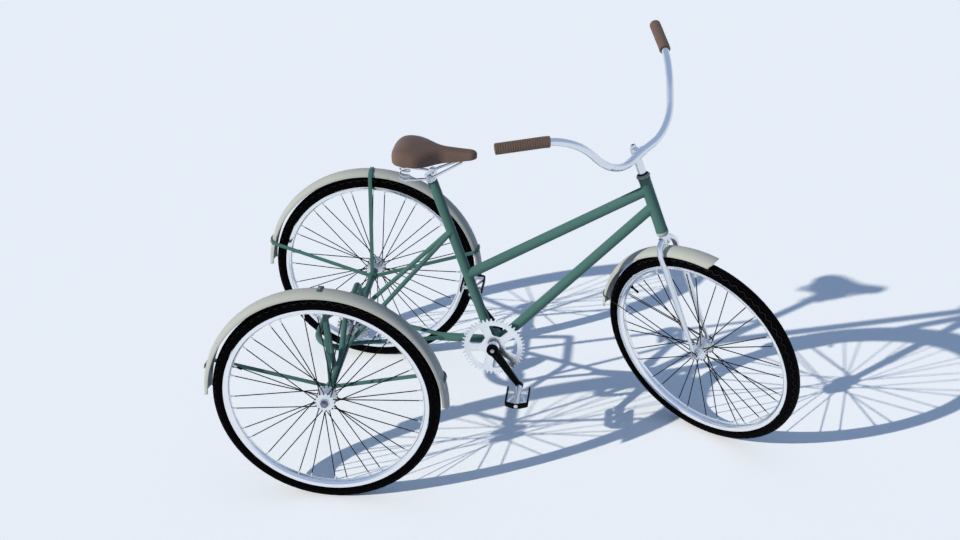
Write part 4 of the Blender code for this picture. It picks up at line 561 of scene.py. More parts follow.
def tyre(hub, x, y, z):
    """A squared-off round section about the wheel: places along its arc zig-zag from side to side,
    and the grooves sink below it along the section's normal. A painted highlight, greying the grooves,
    follows their depth."""
    angle = np.linspace(-0.8, 0.8, 801) * np.pi
    power = 2 / TYRE_SQUARENESS
    table_side = TYRE_HALF_WIDTH * np.sign(np.sin(angle)) * np.abs(np.sin(angle)) ** power
    table_rise = TYRE_HALF_WIDTH * np.sign(np.cos(angle)) * np.abs(np.cos(angle)) ** power
    steps = np.hypot(np.diff(table_side), np.diff(table_rise))
    length = np.concatenate(((0,), np.cumsum(steps)))
    length -= length[len(length) // 2]
    lines = np.array(TREAD) / 1000
    lines = np.concatenate((lines[:0:-1] * (-1, 1, 1), lines))
    lines = np.concatenate((lines, lines[:1]))
    along = lines[:, :1] + lines[:, 1:2] * np.tile(ZIG, TYRE_ZIGS)
    side = np.interp(along, length, table_side)
    rise = np.interp(along, length, table_rise)
    sunk = 1 - lines[:, 2:] / np.hypot(side, rise)
    reach = WHEEL_RADIUS - TYRE_HALF_WIDTH + rise * sunk
    columns = len(ZIG) * TYRE_ZIGS
    turns = np.arange(columns) * 2 * np.pi / columns
    radial = np.cos(turns)[:, None] * x + np.sin(turns)[:, None] * z
    # Painted highlight in the grooves: full in the deepest groove, less in the shallow one, none on the
    # raised rib.
    painted_groove_highlight = np.broadcast_to(np.clip(lines[:, 2:] / lines[:, 2].max(), 0, 1), reach.shape)
    return hub + reach[..., None] * radial + (side * sunk)[..., None] * y, painted_groove_highlight


def spokes_of(hub, x, y, z, phase, flange_offset):
    """Every spoke of a wheel as a path from its head through the flange, round its elbow and out to
    the rim, and every nipple on the spoke's outer end, as two batches of rings. Pairs go to the two
    flanges in turn, and the two spokes of a pair cross on their way out."""
    pair = np.repeat(np.arange(SPOKE_PAIRS), 2)
    hand = np.tile((-1.0, 1.0), SPOKE_PAIRS)[:, None]
    to_right = pair % 2 == 0
    middle = phase + 2 * np.pi * pair / SPOKE_PAIRS
    shift = np.where(to_right, HOLE_SHIFT_RIGHT, HOLE_SHIFT_LEFT)
    hole_turn = (middle + shift - hand[:, 0] * HOLE_SPREAD)[:, None]
    rim_turn = (middle + hand[:, 0] * SPOKE_SPREAD)[:, None]
    flange = np.where(to_right, -1.0, 1.0)[:, None]
    hole_out = np.cos(hole_turn) * x + np.sin(hole_turn) * z
    hole = hub + SPOKE_HOLE_RADIUS * hole_out + flange * flange_offset * y
    tangent = (np.cos(hole_turn) * z - np.sin(hole_turn) * x)[:, None]
    rim_out = np.cos(rim_turn) * x + np.sin(rim_turn) * z
    rim_place = hub + SPOKE_RIM_RADIUS * rim_out + flange * SPOKE_RIM_OFFSET * y
    through = hand * y
    face = through * (FLANGE_HALF + SPOKE_RADIUS)
    shaft = unit(rim_place - hole - face)
    head = hole - through * (FLANGE_HALF + SPOKE_HEAD)
    root = hole - through * (FLANGE_HALF + SPOKE_NECK)
    elbow = hole + face + shaft * SPOKE_ELBOW
    path = np.stack((head, head, root, root, hole + 0.5 * face, elbow, rim_place, rim_place), 1)
    ahead = np.stack((through,) * 5 + (unit(through * SPOKE_CURL + shaft), shaft, shaft), 1)
    sizes = (SPOKE_SIZES * SPOKE_RADIUS)[:, None, None]
    rings = path[:, :, None] + sizes * around(ahead, tangent, SPOKE_SIDES)
    line = rim_place[:, None] - NIPPLE_PLACES[:, None] * shaft[:, None]
    heading = np.broadcast_to(shaft[:, None], line.shape)
    sizes = (NIPPLE_SIZES * SPOKE_RADIUS)[:, None, None]
    return rings, line[:, :, None] + sizes * around(heading, tangent, SPOKE_SIDES)


def wheel(word, hub, x, y, z, half_hub, flange_offset, body, node):
    """Tyre, rim, hub, spokes, nipples and valve of one wheel about its own axes. Half outlines of the
    rim and the hub are mirrored and closed."""
    moulded, painted_groove_highlight = tyre(hub, x, y, z)
    piece(f"{word}_tyre_moulded", [moulded], tread_rubber, body, node.format("tyre"), painted_groove_highlight=painted_groove_highlight)
    rim = np.concatenate((RIM, RIM[-2:0:-1] * (1, -1), RIM[:1]))
    piece(f"{word}_rim_rolled", [turned(rim, hub, y, sides=180)], rim_chrome, body, node.format("rim"))
    whole_hub = np.concatenate((half_hub[:0:-1] * (1, -1), half_hub, half_hub[-1:] * (1, -1)))
    piece(f"{word}_hub_turned", [turned(whole_hub, hub, y, sides=64)], hub_alloy, body, node.format("hub"))
    rings, nipples = spokes_of(hub, x, y, z, np.radians(WHEEL_TURNS[word]), flange_offset)
    piece(f"{word}_spokes", [rings], spoke_steel, body, slot="bright_steel")
    piece(f"{word}_nipples", [nipples], nipple_plate, body, slot="bright_steel")
    turn = np.radians(VALVE_TURNS[word])
    radial = np.cos(turn) * x + np.sin(turn) * z
    valve = turned(VALVE, hub + radial * VALVE_FOOT, -radial, sides=24)
    piece(f"{word}_valve", [valve], tread_rubber, body, slot="black_rubber")


rear_hubs = {word: np.array(joints[f"rear_wheel_{word}_spin"]["pos_m"]) for word in SIDES}
for word, hub in rear_hubs.items():
    wheel(word, hub, FORWARDS, SIDEWAYS, UP, REAR_HUB, REAR_FLANGE, f"rear_wheel_{word}", f"rear_{{}}_{word}")
front_hub = np.array(joints["front_wheel_spin"]["pos_m"])
front_axis = unit(joints["front_wheel_spin"]["axis"])
front_level = unit(np.cross(front_axis, UP))
front_upright = np.cross(front_level, front_axis)
wheel("front", front_hub, front_level, front_axis, front_upright, FRONT_HUB, FRONT_FLANGE, "front_wheel",
      "front_{}")

# Mudguards: rolled steel strip with a curled edge, in grey-cream enamel. Flat green stays run out
# from a collar on the axle tube, bend over onto the crown and are bolted down through it.
GUARD_CROWN, GUARD_EDGE, GUARD_HALF_WIDTH = 0.3575, 0.3430, 0.027
GUARD_THICKNESS, GUARD_BEAD, GUARD_BEAD_DROP = 0.0012, 0.0017, 0.00102
GUARD_CORNER, GUARD_CORNER_START = 0.016, 0.45
GUARD_STEP = np.radians(1.5)
REAR_GUARD_SPAN = np.radians((0, 180))
STAY_ANGLES = np.radians((15, 90, 165))
# Corners of a stay: place across from the middle of the tricycle, and reach from the axle.
STAY_CORNERS = ((0.3430, 0.0125), (0.3438, 0.0240), (0.3735, 0.3493), (0.3905, 0.3593), (0.4178, 0.3593))
STAY_BENDS = (0.030, 0.006, 0.006)
STAY_WIDTH, STAY_THICKNESS, STAY_EDGE, STAY_END = 0.0125, 0.003, 0.0009, 0.00175
COLLAR_PLACE, COLLAR_RADIUS, COLLAR_HALF, COLLAR_EDGE, COLLAR_BORE = 0.343, 0.016, 0.006, 0.001, 0.0106
BOLT_PLACE, BOLT_RADIUS, BOLT_HEIGHT = 0.4083, 0.0048, 0.0032
SCREW_LEVEL, SCREW_RADIUS, SCREW_HEIGHT = 0.3608, 0.0038, 0.0026
HEX_WALL, HEX_TOP, WASHER_REACH, WASHER_HEIGHT = 0.8, 0.82, 1.45, 0.22
PALE_STREAK_HEIGHT = 0.47


def guard(hub, x, y, z, span):
    """A strip rolled round the wheel: an elliptical section with a curled bead at each edge, closed
    by an inner skin one thickness below, and rounded off at its two ends."""
    turns = np.linspace(-1, 1, 41) * np.pi / 2
    arch = np.stack((np.sin(turns), np.cos(turns)), 1)
    sizes = np.array((GUARD_HALF_WIDTH, GUARD_CROWN - GUARD_EDGE))
    outer = arch * sizes + (0, GUARD_EDGE)
    inner = arch * (sizes - GUARD_THICKNESS) + (0, GUARD_EDGE)
    curl = np.linspace(0.25, 1.75, 11) * np.pi
    bead = GUARD_BEAD * np.stack((np.sin(curl), np.cos(curl)), 1)
    bead = bead + (GUARD_HALF_WIDTH - GUARD_THICKNESS / 2, GUARD_EDGE - GUARD_BEAD_DROP)
    parts = (outer, bead, inner[::-1], bead[::-1] * (-1, 1))
    loop = np.concatenate(parts)
    order = np.split(np.arange(len(loop)), np.cumsum([len(part) for part in parts])[:-1])
    partner = np.concatenate([order[k][::-1] for k in (2, 1, 0, 3)])
    past = np.abs(loop[:, 0]) / GUARD_HALF_WIDTH - GUARD_CORNER_START
    reach = np.clip(past / (1 - GUARD_CORNER_START), 0, 1)
    drawn = GUARD_CORNER / GUARD_CROWN * (1 - np.sqrt(np.maximum(1 - reach ** 2, 0)))
    rows = int((span[1] - span[0]) / GUARD_STEP) + 1
    share = np.linspace(0, 1, rows)[:, None]
    turn = span[0] + drawn + share * (span[1] - span[0] - 2 * drawn)
    radial = np.cos(turn)[..., None] * x + np.sin(turn)[..., None] * z
    rings = hub + loop[:, 1:] * radial + loop[:, :1] * y
    ends = (rings[[0, -1]] + rings[[0, -1]][:, partner]) / 2
    return np.concatenate((ends[:1], rings, ends[1:]))


def capped(rings):
    """Rings (..., rows, columns, 3) with each end closed onto the middle of its last row."""
    middles = rings.mean(-2, keepdims=True).repeat(rings.shape[-2], -2)
    return np.concatenate((middles[..., :1, :, :], rings, middles[..., -1:, :, :]), -3)


def bar(path, section, lean, sizes=1.0):
    """A section of (side, lift) corners carried along a path and scaled by its sizes, closed at both
    ends. Its side leans as far as it can in the given direction."""
    path = np.asarray(path, float)
    ahead = unit(np.gradient(path, axis=0))
    side = unit(lean - (ahead @ lean)[:, None] * ahead)
    lift = np.cross(ahead, side)
    scaled = section * np.broadcast_to(sizes, (len(path), 2))[:, None]
    return capped(path[:, None] + scaled[..., :1] * side[:, None] + scaled[..., 1:] * lift[:, None])


def slab(width, thickness, radius, steps=4):
    """Corners of a flat bar's section with rounded edges."""
    quarter = np.linspace(0, np.pi / 2, steps)
    turns = np.concatenate([quarter + k * np.pi / 2 for k in range(4)])
    corner = np.array(((1, 1), (-1, 1), (-1, -1), (1, -1))).repeat(steps, 0)
    middle = corner * (width / 2 - radius, thickness / 2 - radius)
    return middle + radius * np.stack((np.cos(turns), np.sin(turns)), 1)


def hex_bolt(place, outward, radius, height, washer=True):
    """A hexagon head with a chamfered top, on a thin round washer."""
    head = ((0, 0), (radius, 0), (radius, HEX_WALL * height), (HEX_TOP * radius, height), (0, height))
    plate = round_bar(WASHER_REACH * radius, 0, WASHER_HEIGHT * height)
    parts = [turned(head, place, outward, sides=6), turned(plate, place, outward, sides=24)]
    return parts if washer else parts[:1]


# Grey cream enamel has a soft half-gloss, with pale upright streaks in the undercoat colour near the
# lower ends.
cream_enamel = painted("grey_cream_enamel", "#c8cdcb", "#bdc4c3", "#f4f5f3", roughness=0.50, gloss=0.14,
                       pale_streaks_below=PALE_STREAK_HEIGHT)
flat = slab(STAY_WIDTH, STAY_THICKNESS, STAY_EDGE)
collar = round_bar(COLLAR_RADIUS, -COLLAR_HALF, COLLAR_HALF, COLLAR_EDGE, COLLAR_BORE)
end_turns = np.linspace(0, np.pi / 2, 7)[1:]
for word, sign in SIDES.items():
    across = SIDEWAYS * sign
    shell = guard(rear_hubs[word], FORWARDS, SIDEWAYS, UP, REAR_GUARD_SPAN)
    piece(f"rear_mudguard_{word}_rolled", [shell], cream_enamel, "frame", f"rear_mudguard_{word}")
    arms = [turned(collar, axle + across * COLLAR_PLACE, SIDEWAYS, sides=40)]
    bolts = []
    for angle in STAY_ANGLES:
        outward = np.cos(angle) * FORWARDS + np.sin(angle) * UP
        path = rounded(axle + np.array(STAY_CORNERS) @ np.stack((across, outward)), STAY_BENDS, steps=8)
        tip = path[-1] + np.multiply.outer(np.sin(end_turns) * STAY_END, across)
        sizes = np.ones((len(path) + len(tip), 2))
        sizes[len(path):, 0] = 1 - (1 - np.cos(end_turns)) * STAY_END / STAY_WIDTH * 2
        arms.append(bar(np.concatenate((path, tip)), flat, np.cross(outward, SIDEWAYS), sizes))
        seat = axle + across * BOLT_PLACE
        bolts += hex_bolt(seat + outward * SCREW_LEVEL, outward, SCREW_RADIUS, SCREW_HEIGHT, washer=False)
        under = seat + outward * (GUARD_CROWN - GUARD_THICKNESS)
        bolts += hex_bolt(under, -outward, BOLT_RADIUS, BOLT_HEIGHT)
    piece(f"mudguard_stays_{word}_bent", arms, green_enamel, "frame", f"mudguard_stays_{word}")
    piece(f"mudguard_bolts_{word}", bolts, bright_steel, "frame", slot="bright_steel", bevel=0.0003)

# Fork and headset: chromed steel blades bent out from a round crown and drawn down to flat ends,
# a pale pressed cup below the head tube, and a dark race and lock nut above it.
CUP = outline((13.3, 0), (18.3, 0), (18.3, -6), (17.5, -7.8), (15.9, -11), (13.3, -11), (13.3, 0))
LOCKNUT = outline((12.7, 0.3), (17.5, 0.3), (20.1, 2.2), (21, 4.4), (20.3, 6.8), (17.9, 7.4), (18.1, 9.8),
                  (17.3, 10.8), (16.5, 10.2), (15.9, 4), (12.7, 4), (12.7, 0.3))
CROWN = outline((0, -235.8), (5, -235.8), (5, -221.9), (9.5, -221.9), (13.5, -219.9), (15.5, -214.9),
                (15.5, -195.9), (14.5, -192.9), (12.5, -191.9), (12.7, -191.9), (12.7, 4), (11.1, 4),
                (11.1, -115), (0, -115))
CROWN_RADIUS = 0.0155
BLADE_RADIUS, BLADE_SPREAD, BLADE_SHOULDER, BLADE_BEND = 0.0094, 0.0395, -0.2054, 0.037
BLADE_TAPER, BLADE_TIP, BLADE_SWELL, BLADE_FILLET, BLADE_END = 0.180, 0.0046, 1.2, 0.004, 0.0095
DROPOUT_RADIUS, DROPOUT_HALF, DROPOUT_EDGE = 0.0125, 0.0022, 0.0006
FRONT_AXLE_RADIUS, FRONT_AXLE_HALF, FRONT_AXLE_EDGE = 0.0048, 0.0541, 0.0008
FRONT_NUT_PLACE, FRONT_NUT_RADIUS, FRONT_NUT_LENGTH = 0.0476, 0.0085, 0.005
CONE = outline((0, 34.1), (7.8, 34.1), (7.0, 36.8), (0, 36.8))

steer_left = front_axis
steer_ahead = np.cross(steer_left, steer_axis)
fork_length = (steer_top - front_hub) @ steer_axis


def steered(points):
    """Places given as (ahead, left, up) from the top of the head tube, in the turned steering."""
    return steer_top + np.asarray(points, float) @ np.stack((steer_ahead, steer_left, steer_axis))


# Polished chrome shows sharp white and blue bands; oiled steel a dark grey satin.
chrome = plated("polished_chrome_plate", "#e6e9ed", "#d9dee4", rough=0.10, spread=0.08, grain=6.0,
                relief=0.008)
dark_steel = plated("dark_oiled_steel", "#8c9290", "#6d7372", rough=0.34, spread=0.15, grain=2.5, relief=0.05)
cup = turned(CUP, on_steering(HEAD_LENGTH + SNUG), steer_axis)
piece("headset_lower_cup_pressed", [cup], cream_enamel, "frame", "headset_lower_cup", bevel=0.0004)
nut = turned(LOCKNUT, steer_top, steer_axis, sides=56)
piece("headset_locknut_cut", [nut], dark_steel, "fork", "headset_locknut")
piece("fork_crown_turned", [turned(CROWN, steer_top, steer_axis)], chrome, "fork", "fork_crown")
crown_rest = (steer_top, steer_axis, CROWN_RADIUS)
taper = np.linspace(0, 1, 14)[1:]
tapered = BLADE_RADIUS + taper ** BLADE_SWELL * (BLADE_TIP - BLADE_RADIUS)
plate = round_bar(DROPOUT_RADIUS, -DROPOUT_HALF, DROPOUT_HALF, DROPOUT_EDGE)
for word, sign in SIDES.items():
    side = sign * BLADE_SPREAD
    knee = np.array((0, side, BLADE_END - fork_length + BLADE_TAPER))
    line = rounded(((0, 0, BLADE_SHOULDER), (0, side, BLADE_SHOULDER), knee), BLADE_BEND, steps=20)
    radii = np.concatenate((np.full(len(line), BLADE_RADIUS), tapered))
    line = steered(np.concatenate((line, knee - np.multiply.outer(taper * BLADE_TAPER, UP))))
    blade = tube(line, radii, crown_rest, fillet=BLADE_FILLET, lean=steer_ahead, sides=36)
    end = turned(plate, steered((0, side, -fork_length)), steer_left, sides=40)
    piece(f"fork_blade_{word}_drawn", [blade, end], chrome, "fork", f"fork_blade_{word}")
rod = round_bar(FRONT_AXLE_RADIUS, -FRONT_AXLE_HALF, FRONT_AXLE_HALF, FRONT_AXLE_EDGE)
axle_parts = [turned(rod, front_hub, steer_left, sides=32)]
for sign in SIDES.values():
    facing = steer_left * sign
    axle_parts += hex_bolt(front_hub + facing * FRONT_NUT_PLACE, facing, FRONT_NUT_RADIUS, FRONT_NUT_LENGTH)
    axle_parts.append(turned(CONE, front_hub, facing, sides=32))
piece("front_axle_turned", axle_parts, bright_steel, "fork", "front_axle", bevel=0.0004)

# Front mudguard: a shorter strip of the same section, screwed to the fork crown, with a thin wire
# stay that hooks over its rear end and runs down to an eye on each end of the axle.
FRONT_GUARD_SPAN = np.radians((63, 157.5))
WIRE_RADIUS, WIRE_ANGLE, WIRE_FOOT = 0.0014, np.radians(148), 0.0085
WIRE_ARCH_HALF, WIRE_ARCH_RISE = 0.0302, 0.0165
WIRE_EYE_RADIUS, WIRE_EYE_HALF, WIRE_EYE_PLACE = 0.0078, 0.0012, 0.0448
ROUND_HEAD, ROUND_HEAD_TURNS = outline((0, -0.4), (3.4, 0), (3, 1.1), (1.6, 1.9), (0, 2.1)), (146.5, 149.5)


def on_guard(turn):
    """The direction out from the front hub at an angle round the guard."""
    return np.cos(turn) * steer_ahead + np.sin(turn) * steer_axis


shell = guard(front_hub, steer_ahead, steer_left, steer_axis, FRONT_GUARD_SPAN)
piece("front_mudguard_rolled", [shell], cream_enamel, "fork", "front_mudguard")
outward = on_guard(WIRE_ANGLE)
turns = np.linspace(-1, 1, 25) * np.pi / 2
wire_side = np.concatenate(((-WIRE_EYE_PLACE,), WIRE_ARCH_HALF * np.sin(turns), (WIRE_EYE_PLACE,)))
wire_reach = np.concatenate(((WIRE_FOOT,), GUARD_EDGE + WIRE_ARCH_RISE * np.cos(turns), (WIRE_FOOT,)))
wire_path = front_hub + np.multiply.outer(wire_reach, outward) + np.multiply.outer(wire_side, steer_left)
wire_parts = [tube(wire_path, WIRE_RADIUS, lean=np.cross(outward, steer_left), sides=12)]
eye = round_bar(WIRE_EYE_RADIUS, -WIRE_EYE_HALF, WIRE_EYE_HALF, bore=FRONT_AXLE_RADIUS + SNUG)
for sign in SIDES.values():
    wire_parts.append(turned(eye, front_hub + steer_left * sign * WIRE_EYE_PLACE, steer_left, sides=32))
# Browned wire gives a thin, warm, dull line.
wire_steel = plated("browned_wire", "#5a4034", "#3a2a22", rough=0.36, spread=0.16, grain=2.0, relief=0.03)
piece("front_mudguard_stay_wire", wire_parts, wire_steel, "fork", "front_mudguard_stay", slot="chrome_plate")
under = front_hub + steer_axis * (GUARD_CROWN - GUARD_THICKNESS)
screws = hex_bolt(under, -steer_axis, BOLT_RADIUS, BOLT_HEIGHT)
for turn in np.radians(ROUND_HEAD_TURNS):
    spot = on_guard(turn)
    screws.append(turned(ROUND_HEAD, front_hub + spot * GUARD_CROWN, spot, sides=20))
piece("front_mudguard_screws", screws, bright_steel, "fork", slot="bright_steel")

# Stem: a chromed quill that slides in the steerer, with a narrow round clamp for the bar, split by
# a saw cut, and an expander bolt with a hexagon socket on top.
NECK = outline((0, -75), (10.7, -75), (10.7, 4.6), (11.9, 4.6), (12.7, 5.8), (12.7, 92), (11.5, 95),
               (8.7, 96), (0, 96))
CLAMP_RADIUS, CLAMP_BORE, CLAMP_EDGE = 0.0146, 0.0121, 0.0006
CLAMP_HALVES = ((-0.0150, -0.0052), (-0.0040, 0.0150))
BAR_CENTRE = (0.017, 0.000, 0.079)
STEM_BOLT = outline((0, 96.3), (8.2, 96.3), (8.2, 104.2), (6.8, 105.8), (4.6, 105.8), (4.6, 99.8), (0, 99.8))
STEM_BOLT_SOCKET = outline((0, 101.4), (4.5, 101.4), (4.5, 100), (0, 100))

bar_middle = steered(BAR_CENTRE)
stem_parts = [turned(NECK, steer_top, steer_axis)]
for near, far in CLAMP_HALVES:
    half_clamp = round_bar(CLAMP_RADIUS, near, far, CLAMP_EDGE, CLAMP_BORE)
    stem_parts.append(turned(half_clamp, bar_middle, steer_left))
piece("stem_forged", stem_parts, chrome, "handlebar", "stem")
head = turned(STEM_BOLT, steer_top, steer_axis, sides=40)
piece("stem_bolt_head", [head], chrome, "handlebar", "stem_bolt")
# Painted shade: the floor of the hexagon socket is near-black spoke steel, standing in for the shade in the
# recess.
socket = turned(STEM_BOLT_SOCKET, steer_top, steer_axis, sides=6)
piece("stem_bolt_socket_painted_shade", [socket], spoke_steel, "handlebar", slot="bright_steel")

# Handlebar: one steel tube bent five times, rising from the clamp and sweeping back to the hands,
# polished and chromed, with a sleeve in the clamp. A ribbed brown rubber grip is pushed onto each end.
BAR_RADIUS = 0.011
BAR_CORNERS = ((-0.1198, 0.3862, 0.3025), (0.020, 0.238, 0.255), (0.033, 0.137, 0.082))
BAR_BENDS = (0.165, 0.150, 0.200, 0.150, 0.165)
SLEEVE_HALF, SLEEVE_RADIUS = 0.066, 0.0120
GRIP_LENGTH, GRIP_RADIUS, GRIP_BORE, GRIP_END, GRIP_FACE = 0.152, 0.0165, 0.0112, 0.004, 0.62
GRIP_RIBS, GRIP_RIB_STEPS, GRIP_RIB_DEPTH, GRIP_RIB_SHARPNESS = 22, 10, 0.0014, 1.8


def runs(path):
    """How far along a path each of its points lies: the sum of the steps before it."""
    return np.concatenate(((0,), np.cumsum(np.linalg.norm(np.diff(path, axis=0), axis=1))))


def walked(path, places):
    """Points at given runs along a path, in proportion between its own points."""
    return np.stack([np.interp(places, runs(path), column) for column in path.T], 1)


left_half = np.array(BAR_CORNERS)
right_half = (left_half * (1, -1, 1))[::-1]
bar_path = rounded(np.concatenate((left_half, (BAR_CENTRE,), right_half)), BAR_BENDS, steps=26)
bar_length = runs(bar_path)[-1]
sleeve_path = walked(bar_path, bar_length / 2 + np.linspace(-SLEEVE_HALF, SLEEVE_HALF, 41))
bars = [tube(steered(bar_path), BAR_RADIUS, lean=steer_ahead, sides=40),
        tube(steered(sleeve_path), SLEEVE_RADIUS, lean=steer_ahead, sides=40)]
piece("handlebar_bent", bars, chrome, "handlebar", "handlebar")

# Moulded rubber is a matt brown, with painted shade darkening the hollows between its ribs. Its skin, really
# a few tenths of a millimetre, is drawn at 0.9 mm so that it shows.
grip_rubber, tree, shader, place = surface("brown_moulded_rubber")
sweat = add(tree, "TexNoise", {"Vector": place, "Scale": 1000 / 22, "Detail": 5.0})
tone = add(tree, "Mix", {0: sweat, 6: linear("#7b665c"), 7: linear("#69564c")}, 2, data_type="RGBA")
# Painted shade: where the surface is hollow between the ribs, the colour goes to a deep brown.
raised = add(tree, "NewGeometry", out="Pointiness")
low = add(tree, "MapRange", {"Value": raised, "From Min": 0.50, "From Max": 0.44})
painted_groove_shade = add(tree, "Mix", {0: low, 6: tone, 7: linear("#38291f")}, 2, data_type="RGBA")
dull = add(tree, "MapRange", {"Value": sweat, "To Min": 0.48, "To Max": 0.68})
skin = add(tree, "TexNoise", {"Vector": place, "Scale": 1000 / 0.9, "Detail": 2.0})
bump = add(tree, "Bump", {"Height": skin, "Strength": 0.2, "Distance": 0.0003})
feed(tree, shader, {"Base Color": painted_groove_shade, "Roughness": dull, "Normal": bump})

share = np.linspace(0, 1, GRIP_RIBS * GRIP_RIB_STEPS + 1)
groove = np.clip(1 - GRIP_RIB_SHARPNESS * (1 - np.cos(2 * np.pi * share * GRIP_RIBS)), 0, 1)
dome = np.linspace(0, np.pi / 2, 8)[1:]
grip_dome = GRIP_RADIUS * (GRIP_FACE + (1 - GRIP_FACE) * np.cos(dome))
grip_radii = np.concatenate((GRIP_RADIUS - GRIP_RIB_DEPTH * groove, grip_dome))
for word in SIDES:
    line = bar_path[::-1] if word == "left" else bar_path
    path = walked(line, bar_length - (1 - share) * (GRIP_LENGTH - GRIP_END))
    tip = path[-1] + np.multiply.outer(np.sin(dome) * GRIP_END, unit(line[-1] - line[-2]))
    path = steered(np.concatenate((path, tip)))
    grip = tube(path, grip_radii, GRIP_BORE, lean=steer_ahead, sides=44)
    piece(f"grip_{word}_moulded", [grip], grip_rubber, "handlebar", f"grip_{word}")

# Crank set: a steel cartridge in the shell, a spindle, a stamped and plated chainring on a boss, and
# two forged steel arms in black enamel, each held by a bright bolt.
CRANK_ANGLE = np.radians(53)
CRANK_LENGTH, CRANK_OFFSET, CRANK_HALF = 0.140, 0.080, 0.0065
CRANK_BOSS, CRANK_EYE, CRANK_DISH = 0.0185, 0.0110, 0.0145
CRANK_BAR_HALF, CRANK_BLEND = (0.0140, 0.0082), 0.004 / 3
# Rows over a crank's edge: share of its width and of its half thickness.
CRANK_EDGE = np.array(((0, -1), (0.80, -1), (0.95, -0.86), (1, -0.6), (1, 0.6), (0.95, 0.86), (0.80, 1),
                       (0, 1)))
CRANK_CAP = outline((0, -1), (6.8, -1), (6.6, 0.5), (6, 1), (0, 1))
CRANK_BOLT_PLACE, CRANK_BOLT_RADIUS, CRANK_BOLT_HEIGHT = 0.0008, 0.0054, 0.0030
SPINDLE_RADIUS = 0.008
CARTRIDGE = outline((8.6, -34), (16.5, -34), (16.5, 34.3), (19.5, 34.3), (19.5, 38.3), (14, 38.3),
                    (13.2, 37.1), (8.6, 37.1), (8.6, -34))
RING_TEETH, RING_TIP, RING_DEPTH, RING_POINT, RING_OFFSET = 46, 0.0978, 0.0088, 0.0, 0.044
RING_INNER, RING_OUTER, RING_FILLET, RING_LAP = 0.037, 0.074, 0.006, 0.003
RING_HALF, RING_DISC_HALF, RING_ARM_THICKNESS = 0.00175, 0.00165, 0.0015
RING_ARMS, RING_ARM_TURN, RING_ARM_HALF = 5, np.radians(93), (0.0124, 0.0139)
RING_BOSS = outline((8.3, 0), (19.5, 1.2), (16.5, 3), (15.5, 6), (15.5, 15), (8.3, 15), (8.3, 0))

crank_ahead = np.array((np.cos(CRANK_ANGLE), 0, -np.sin(CRANK_ANGLE)))
crank_up = np.array((np.sin(CRANK_ANGLE), 0, np.cos(CRANK_ANGLE)))
cartridge = turned(CARTRIDGE, crank_centre, -SIDEWAYS)
piece("crank_cartridge_turned", [cartridge], bright_steel, "frame", "crank_cartridge", bevel=0.0004)
bolt_face = CRANK_OFFSET + CRANK_HALF - CRANK_DISH
spindle = turned(round_bar(SPINDLE_RADIUS, -bolt_face, bolt_face), crank_centre, SIDEWAYS, sides=32)
piece("crank_spindle_turned", [spindle], bright_steel, "cranks", "crank_spindle")

# Bright plate on a flat ring is a slightly soft mirror, pale with the sky and dark where the crank stands.
ring_plate = plated("bright_plated_ring_steel", "#f8fafc", "#eef1f5", rough=0.26, spread=0.05, grain=6.0,
                    relief=0.0006)
# Each arm of the ring widens into a quarter circle where it meets the disc and the toothed rim.
ring_centre = crank_centre - SIDEWAYS * RING_OFFSET
reach = np.linspace(RING_INNER - RING_LAP, RING_OUTER + RING_LAP, 25)
past_inner = np.clip((reach - RING_INNER) / RING_FILLET, 0, 1)
past_outer = np.clip((RING_OUTER - reach) / RING_FILLET, 0, 1)
flare = 2 - np.sqrt(1 - (1 - past_inner) ** 2) - np.sqrt(1 - (1 - past_outer) ** 2)
width = np.interp(reach, (RING_INNER, RING_OUTER), RING_ARM_HALF) + RING_FILLET * flare
arm_across, arm_lift = slab(2, 2, 0.35, steps=3).T
arm_turns = RING_ARM_TURN + 2 * np.pi * np.arange(RING_ARMS) / RING_ARMS
swing = arm_turns[:, None, None] + (width / reach)[:, None] * arm_across
arm_out = np.cos(swing)[..., None] * crank_ahead + np.sin(swing)[..., None] * crank_up
arms = ring_centre + reach[:, None, None] * arm_out
arms = capped(arms + np.multiply.outer(arm_lift * RING_ARM_THICKNESS, SIDEWAYS))
disc = round_bar(RING_INNER, -RING_DISC_HALF, RING_DISC_HALF, bore=SPINDLE_RADIUS + SNUG)
ring_parts = [toothed(RING_TEETH, RING_TIP, RING_DEPTH, RING_OUTER, RING_HALF, ring_centre, RING_POINT), arms,
              turned(disc, ring_centre, SIDEWAYS, sides=96), turned(RING_BOSS, ring_centre, -SIDEWAYS)]
piece("chainring_stamped", ring_parts, ring_plate, "cranks", "chainring")

# Black stoved enamel is near black with a low sheen, greyer on rubbed corners.
black_enamel = painted("black_stoved_enamel", "#040505", "#020303", "#3c3e40", roughness=0.45, gloss=0.06)
# A crank's outline is the smooth largest of a round boss, a round eye and a tapered bar; it goes out along
# one side and back along the other, dished towards the frame at the boss.
sweep = 0.5 - 0.5 * np.cos(np.linspace(0, np.pi, 61))
along = sweep * (CRANK_BOSS + CRANK_LENGTH + CRANK_EYE) - CRANK_BOSS
boss_half = np.sqrt(np.maximum(CRANK_BOSS ** 2 - along ** 2, 0))
eye_half = np.sqrt(np.maximum(CRANK_EYE ** 2 - (along - CRANK_LENGTH) ** 2, 0))
bar_half = np.interp(along, (0, CRANK_LENGTH), CRANK_BAR_HALF) * ((along > 0) & (along < CRANK_LENGTH))
halves = np.stack((boss_half, eye_half, bar_half))
width = CRANK_BLEND * np.log(np.exp(halves / CRANK_BLEND).sum(0) - len(halves) + 1)
dish = CRANK_DISH * (0.5 + 0.5 * np.cos(np.pi * np.clip(along / CRANK_LENGTH, 0, 1)))
along = np.concatenate((along, along[-2:0:-1]))
dish = np.concatenate((dish, dish[-2:0:-1]))
width = np.concatenate((width, -width[-2:0:-1]))
across = np.multiply.outer(np.multiply.outer(CRANK_EDGE[:, 0], width), crank_up)
